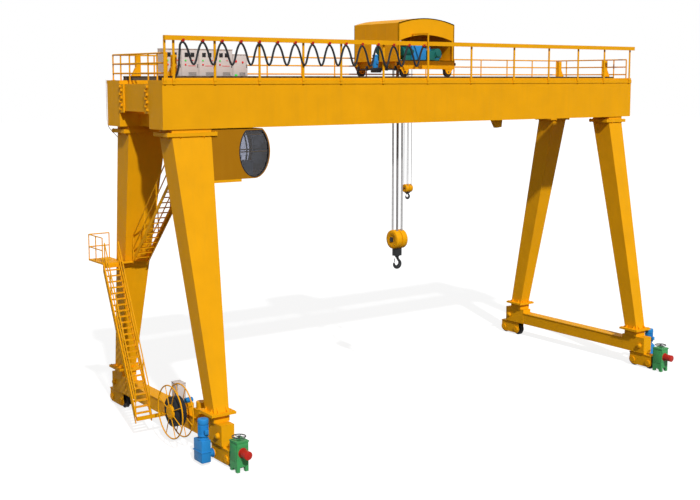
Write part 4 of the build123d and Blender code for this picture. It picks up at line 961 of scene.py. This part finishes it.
@dataclass
class FestoonLine:
    """The looped power cable and its carriers, in a fixed spread that does not follow the crab."""

    line_y: float = -2.49
    first_x: float = -11.73
    last_x: float = -0.65
    count: int = 15
    peak_z: float = 14.95
    valley_z: float = 14.17
    beam_z: float = 15.01
    beam_half: float = 0.045
    cable_radius: float = 0.041
    slack_share: float = 0.015
    tow_face: float = -0.53
    carrier_half: float = 0.055
    cheek: float = 0.0115
    carrier_span: float = 2000.0

    def build(self) -> None:
        """Make the loops, the carriers, the tail at the fixed end and the tail at the crab."""
        pitch = (self.last_x - self.first_x) / (self.count - 1)
        dip = (self.valley_z - 0.25 * self.peak_z) / 0.75
        y, peak = self.line_y, self.peak_z
        for index in range(self.count):
            self._carrier(index, self.first_x + pitch * index)
        for index in range(self.count - 1):
            x = self.first_x + pitch * index
            points = [(x, y, peak), (x + pitch * 0.16, y, peak), (x + pitch * 0.54, y, dip),
                      (x + pitch * 0.86, y, peak), (x + pitch, y, peak)]
            loop = swept(f"festoon_loop_{index + 1:02d}", points, self.cable_radius, RUBBER, 2, resolution=7)
            self._blend(loop)
            if index == 0:
                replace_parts(loop, "festoon_cable")
        self._tails()
        log.info("festoon: %d loops", self.count - 1)

    def _blend(self, piece: bpy.types.Object) -> None:
        """Bake a piece's placement into its mesh; it follows neither the portal nor the crab.

        Args:
            piece: The piece, with no parent.
        """
        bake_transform(piece)

    def _carrier(self, index: int, x: float) -> None:
        """Make one red carrier: cheeks that clasp the beam, rollers and a saddle on the cable."""
        block = Shape(f"festoon_carrier_{index + 1:02d}", RED)
        y, gap, half = self.line_y, self.beam_half + 0.0005, self.carrier_half
        for side in SIDES:
            face = y + side * (gap + self.cheek)
            inside, outside = sorted((y + side * gap, face))
            block.box((x - half, inside, 15.0), (x + half, outside, 15.07), 0.004)
            for roller in (x - 0.032, x + 0.032):
                block.bar((roller, face, 15.045), (roller, face + side * 0.006, 15.045), 0.014, 14)
        block.box((x - half, y - gap - 0.004, 14.972), (x + half, y + gap + 0.004, self.beam_z - 0.001), 0.003)
        made = block.add("", "red_paint")
        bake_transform(made)
        if index == 0:
            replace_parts(made, "festoon_carriers")

    def _tails(self) -> None:
        """Make the cable ends at the fixed end of the beam and along the crab's tow arm."""
        y, peak, tow = self.line_y, self.peak_z, self.tow_face
        path = [(-11.99, y + 0.19, 13.65), (-11.95, y + 0.06, 13.8), (-11.9, y, 14.1), (-11.86, y, 14.6),
                (-11.84, y, 14.95), (self.first_x, y, peak)]
        first = swept("festoon_tail_fixed", path, self.cable_radius, RUBBER, 2)
        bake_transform(first)
        last = swept("festoon_tail_crab", [(self.last_x, y, peak), (-0.6, y, peak), (tow, y, peak)],
                     self.cable_radius, RUBBER, 2)
        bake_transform(last)
        clamp = Shape("tow_arm_clamp", DARK_TRIM)
        clamp.lathe((tow, y, peak), (-1, 0, 0),
                    ((0.0, -0.01), (0.058, -0.01), (0.058, 0.02), (0.05, 0.035), (0.0, 0.035)), 20)
        clamp.add("crab", "cable_rubber")


# ---------------------------------------------------------------- hooks and ropes


@dataclass
class HookSet:
    """One hook block with its sheave covers, crosshead, forged hook and rope falls."""

    key: str
    centre: Point
    radius: float
    half_width: float
    falls: tuple[float, float]
    rope_radius: float
    crosshead_z: float
    hook_radius: float
    hook_drop: float
    shank: float
    pair: tuple[float, ...] = (0.0,)
    hub_half: float = 0.1
    rope_top: float = 14.82
    lay_degrees: float = 24.0

    def build(self) -> None:
        """Make the block, the hook and the ropes."""
        self._block()
        self._hook()
        self._ropes()

    def _block(self) -> None:
        """Two sheave covers with hub plates, and the black crosshead below."""
        x, y, z = self.centre
        covers, dark = Shape(f"{self.key}_sheave_covers", AMBER), Shape(f"{self.key}_crosshead", HOOK)
        width, r, half = self.half_width, self.radius, self.hub_half
        cover = ((0.0, 0.03), (0.9, 0.03), (0.985, 0.1), (1.0, 0.2), (1.0, 0.82), (0.97, 0.93), (0.9, 1.0),
                 (0.5, 1.0), (0.46, 0.96), (0.3, 0.96), (0.0, 0.96))
        for side in SIDES:
            out, hub_x, strap_x = (side, 0, 0), x + side * width * 1.09, x + side * 0.5 * width
            covers.lathe((x, y, z), out, [(r * across, along * width) for across, along in cover], 48)
            covers.bolts(around((x + side * width, y, z), out, r * 0.72, 8), out, r * 0.07)
            low, high = sorted((x + side * width * 0.9, hub_x))
            dark.box((low, y - half, z - half), (high, y + half, z + half), r * 0.03)
            dark.bolts(around((hub_x, y, z), out, r * 0.12, 4, 0.785), out, r * 0.05)
            covers.box((strap_x - 0.02, y - r * 0.12, z + r * 0.93), (strap_x + 0.02, y + r * 0.12, z + r), 0.005)
        cross, top = self.crosshead_z, z - r * 0.8
        dark.box((x - width * 0.62, y - r * 0.26, cross), (x + width * 0.62, y + r * 0.26, top), r * 0.03)
        dark.bar((x, y, cross), (x, y, cross - 0.02), self.shank * 1.9, 24, bevel=0.004)
        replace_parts(covers.add(f"{self.key}_block", "amber_paint"), f"{self.key}_block")
        dark.add(f"{self.key}_block", "hook_iron")

    def _hook(self) -> None:
        """A forged hook: a shank, a tapered bowl and a spring latch across its mouth."""
        (x, y, _), top = self.centre, self.crosshead_z
        r, s = self.hook_radius, self.shank
        middle, reach = top - self.hook_drop, r * 0.74
        points, widths = [(x, y, top), (x, y, middle + r * 1.25)], [1.0, 1.0]
        bowl = ((62, 1.05), (30, 1.25), (0, 1.5), (-35, 1.7), (-70, 1.75), (-105, 1.6), (-140, 1.3),
                (-172, 0.95), (-196, 0.6))
        for angle, width in bowl:
            turn = math.radians(angle)
            points.append((x + reach * math.cos(turn), y, middle + reach * math.sin(turn)))
            widths.append(width * r / (s * 4.5))
        hook = swept(f"{self.key}_forged_hook", points, s, HOOK, 4, widths, 6)
        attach(hook, f"{self.key}_hook")
        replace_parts(hook, f"{self.key}_hook")
        latch, pin_x, pin_z = Shape(f"{self.key}_hook_latch", HOOK), x - r * 0.57, middle + r * 0.93
        latch.box((x - r * 0.62, y - s * 0.25, middle + r * 0.28),
                  (x - r * 0.52, y + s * 0.25, middle + r * 0.95), s * 0.08)
        latch.bar((pin_x, y - s * 0.5, pin_z), (pin_x, y + s * 0.5, pin_z), s * 0.16, 10)
        latch.bar((x, y, top), (x, y, top - s * 1.2), s * 1.35, 20, bevel=s * 0.1)
        latch.add(f"{self.key}_hook", "hook_iron")

    def _ropes(self) -> None:
        """Laid wire ropes from the crab to the block, at a fixed length."""
        x, y, z = self.centre
        across, along = self.falls
        ropes = Shape(f"{self.key}_rope_falls", ROPE)
        foot = z + math.sqrt(self.radius ** 2 - along ** 2) - 0.01
        for fall_x, fall_y, offset in product((-across, across), (-along, along), self.pair):
            self._laid(ropes, (x + fall_x + offset, y + fall_y, foot))
        made = ropes.add("", "rope_steel", 75.0)
        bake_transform(made)
        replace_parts(made, f"{self.key}_ropes")

    def _laid(self, ropes: Shape, foot: Point) -> None:
        """Add one rope: a faintly lobed section that turns as it is drawn up."""
        mesh, base = ropes.mesh, Vector(foot)
        ring = bmesh.ops.create_circle(mesh, segments=12, radius=self.rope_radius,
                                       matrix=Matrix.Translation(base))["verts"]
        for vert in ring[1::2]:
            vert.co = base + (vert.co - base) * 0.97
        edges = list({e for v in ring for e in v.link_edges})
        height = self.rope_top - foot[2]
        steps = int(height / (self.rope_radius * 5.0))
        lay = Matrix.Rotation(math.radians(self.lay_degrees), 3, "Z")
        for _ in range(steps):
            made = bmesh.ops.extrude_edge_only(mesh, edges=edges)["geom"]
            verts = [g for g in made if isinstance(g, bmesh.types.BMVert)]
            edges = [g for g in made if isinstance(g, bmesh.types.BMEdge)]
            bmesh.ops.translate(mesh, verts=verts, vec=(0.0, 0.0, height / steps))
            bmesh.ops.rotate(mesh, cent=(foot[0], foot[1], verts[0].co.z), verts=verts, matrix=lay)


# ---------------------------------------------------------------- crab


@dataclass
class CrabMachinery:
    """Drums with rope turns, motors and gear cases, and the hood over them."""

    deck_z: float = 14.42
    drum_y: float = -0.745
    drum_z: float = 14.82
    motor_z: float = 14.7
    brake_z: float = 14.74
    shaft: tuple[float, float] = (-1.19, 14.05)
    centre_x: float = 0.3
    half_length: float = 1.535
    half_width: float = 1.55
    sheet: float = 0.04
    eaves_z: float = 15.97
    apex_z: float = 16.2
    post: float = 0.1
    opening_z: float = 15.5
    entry_y: tuple[float, float] = (-0.25, 0.35)

    def build(self) -> None:
        """Make the machinery, the hood and its trim."""
        self._drums()
        self._motors()
        self._travel_drive()
        self._hood()
        self._hood_trim()

    def _drums(self) -> None:
        """Turns of rope on the main drum and on the auxiliary drum."""
        turns = Shape("drum_rope_turns", ROPE)
        for x in spread(-0.72, 0.82, 46):
            turns.ring((x, self.drum_y, self.drum_z), SPAN, 0.33, 0.014, 6, 32)
        for x in spread(0.75, 1.45, 32):
            turns.ring((x, 1.07, self.drum_z), SPAN, 0.22, 0.01, 6, 28)
        turns.add("crab", "rope_steel")

    def _motors(self) -> None:
        """Blue hoist motor and gear case, and the green brake and motors."""
        y, z, brake, deck = self.drum_y, self.motor_z, self.brake_z, self.deck_z
        blue = Shape("hoist_motor_dress", BLUE)
        blue.boxes((((-0.42, -1.46, 14.44), (0.37, -1.12, 15.0), 0.05),
                    ((1.15, y - 0.15, deck), (1.56, y + 0.15, 14.6), 0.015)))
        blue.bar((-0.4, -1.29, 14.95), (0.35, -1.29, 14.95), 0.17, 24, bevel=0.02)
        blue.bar((1.08, y, z), (1.64, y, z), 0.22, 32, bevel=0.02)
        blue.fins(spread(1.16, 1.56, 10), 0.006, y, z, 0.23)
        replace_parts(blue.add("crab", "blue_paint"), "crab_motors")
        green = Shape("hoist_brake_dress", TEAL)
        green.bar((1.04, -1.42, brake), (1.04, -1.0, brake), 0.205, 32, bevel=0.02)
        green.bar((1.04, -1.47, brake), (1.04, -1.41, brake), 0.15, 32, bevel=0.02)
        green.bar((-0.86, -1.28, 14.8), (-0.3, -1.28, 14.8), 0.19, 32, bevel=0.03)
        green.fins(spread(-0.8, -0.36, 12), 0.006, -1.28, 14.8, 0.205)
        green.bar((-1.08, 0.05, 14.86), (-0.72, 0.05, 14.86), 0.18, 28, bevel=0.025)
        green.boxes((((0.5, -1.4, 14.44), (0.9, -1.06, 14.86), 0.03),
                     ((0.9, -1.36, deck), (1.18, -1.1, 14.5), 0.01),
                     ((-0.76, -1.4, deck), (-0.42, -1.15, 14.66), 0.02),
                     ((-1.04, -0.07, deck), (-0.76, 0.17, 14.72), 0.015)))
        green.add("crab", "blue_paint")

    def _travel_drive(self) -> None:
        """Upright travel motor on its gear case, the line shaft to both carriages and the buffer pads."""
        x, y = -1.35, -0.12
        motor = Shape("crab_travel_motor", BLUE)
        motor.stack(x, y, 28, ((14.12, 14.6, 0.115, 0.012), (14.58, 14.68, 0.125, 0.03)))
        motor.ribs(around((x, y, 14.36), UP, 0.115, 20), 0.17)
        motor.box((x - 0.05, y - 0.17, 14.28), (x + 0.05, y - 0.1, 14.42), 0.01)
        motor.add("crab", "blue_paint")
        case = Shape("crab_gear_case", DARK_TRIM)
        case.box((x - 0.11, y - 0.2, 13.92), (-1.15, y + 0.2, 14.13), 0.03)
        case.bolts([(x - 0.11, y + dy, 14.02) for dy in (-0.14, 0.14)], (-1, 0, 0), 0.03)
        x, z = self.shaft
        case.bar((x, -1.38, z), (x, 1.38, z), 0.028, 16)
        for y in (-1.3, -0.7, 0.7, 1.3):
            case.box((x - 0.04, y - 0.05, 14.0), (x + 0.04, y + 0.05, 14.2), 0.01)
        for y in (-0.42, 0.2):
            case.bar((x, y - 0.06, z), (x, y + 0.06, z), 0.055, 20, bevel=0.008)
        case.add("crab", "cable_rubber")
        pads = Shape("crab_buffer_pads", RUBBER)
        pad = ((0.074, 0.004), (0.074, 0.09), (0.066, 0.109), (0.0, 0.1098))
        for (end, face), side in product(((-1.0, -1.22), (1.0, 1.82)), (-1.5, 1.5)):
            pads.lathe((face, side, 14.28), (end, 0, 0), pad, 24)
        pads.add("crab", "cable_rubber")

    def _hood(self) -> None:
        """Sheet hood under its arched roof, with the wide arched opening in front and behind."""
        hood = Shape("hood_sheets", AMBER)
        sheet, deck, width, eaves = self.sheet, self.deck_z, self.half_width, self.eaves_z
        left, right = self.centre_x - self.half_length, self.centre_x + self.half_length
        roof = self._arch(left, right, eaves, self.apex_z, 24)
        under = self._arch(left + sheet, right - sheet, eaves - sheet, self.apex_z - sheet, 24)
        hood.prism([(x, -width, z) for x, z in roof + under[::-1]], (0.0, 2 * width, 0.0))
        gap = self._arch(left + self.post, right - self.post, self.opening_z - 0.24, self.opening_z, 20)
        wall = [(left, deck), *roof, (right, deck), (right - self.post, deck), *gap[::-1], (left + self.post, deck)]
        for face in (-width, width - sheet):
            hood.prism([(x, face, z) for x, z in wall], (0.0, sheet, 0.0))
        near, far = self.entry_y
        hood.box((right - sheet, -width, deck), (right, width, eaves))
        for y0, y1, low in ((-width, near, deck), (far, width, deck), (near, far, 15.15)):
            hood.box((left, y0, low), (left + sheet, y1, eaves))
        for seam in spread(-0.75, 0.75, 3):
            hood.box((left - 0.004, seam - 0.02, 15.2), (left, seam + 0.02, eaves - 0.01))
        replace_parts(hood.add("crab", "amber_paint"), "crab_hood")

    @staticmethod
    def _arch(left: float, right: float, foot: float, top: float, steps: int) -> list[tuple[float, float]]:
        """Return points of the circular arc that rises from foot to top between two walls."""
        half, rise = (right - left) / 2, top - foot
        radius = (half ** 2 + rise ** 2) / (2 * rise)
        swing = math.asin(half / radius)
        return [((left + right) / 2 + radius * math.sin(turn), top - radius * (1.0 - math.cos(turn)))
                for turn in spread(-swing, swing, steps)]

    def _hood_trim(self) -> None:
        """Corner seams of the hood and the deep plate along the chassis below it."""
        trim = Shape("hood_trim", AMBER)
        for x in (-1.235, 1.835):
            trim.box((x - 0.006, -1.556, 14.45), (x + 0.006, -1.545, 15.95), 0.003)
        trim.box((-1.2, -1.612, 14.06), (1.8, -1.6, 14.43), 0.004)
        trim.box((-1.2, -1.612, 14.4), (1.8, -1.55, 14.43), 0.004)
        trim.add("crab", "amber_paint")


def main() -> None:
    """Build the studio and dress the crane."""
    logging.basicConfig(level=logging.INFO, format="%(name)s: %(message)s")
    bpy.context.scene.view_settings.view_transform = "Standard"
    for old in list(bpy.data.objects):
        bpy.data.objects.remove(old)
    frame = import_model()
    Studio().build()
    Dresser(frame).dress()
    for assembly in (Portal, ControlCabinets, DriverCab, CableReel, TravelDrives, RailClamps, FestoonLine):
        assembly().build()
    HookSet("main", centre=(-0.22, -0.25, 6.665), radius=0.415, half_width=0.3, falls=(0.12, 0.165),
            rope_radius=0.019, crosshead_z=5.93, hook_radius=0.232, hook_drop=0.35, shank=0.062,
            pair=(-0.03, 0.03)).build()
    HookSet("aux", centre=(1.12, 0.7, 8.76), radius=0.185, half_width=0.19, falls=(0.09, 0.15),
            rope_radius=0.012, crosshead_z=8.535, hook_radius=0.135, hook_drop=0.14, shank=0.038,
            hub_half=0.035).build()
    CrabMachinery().build()


if __name__ == "__main__":
    main()
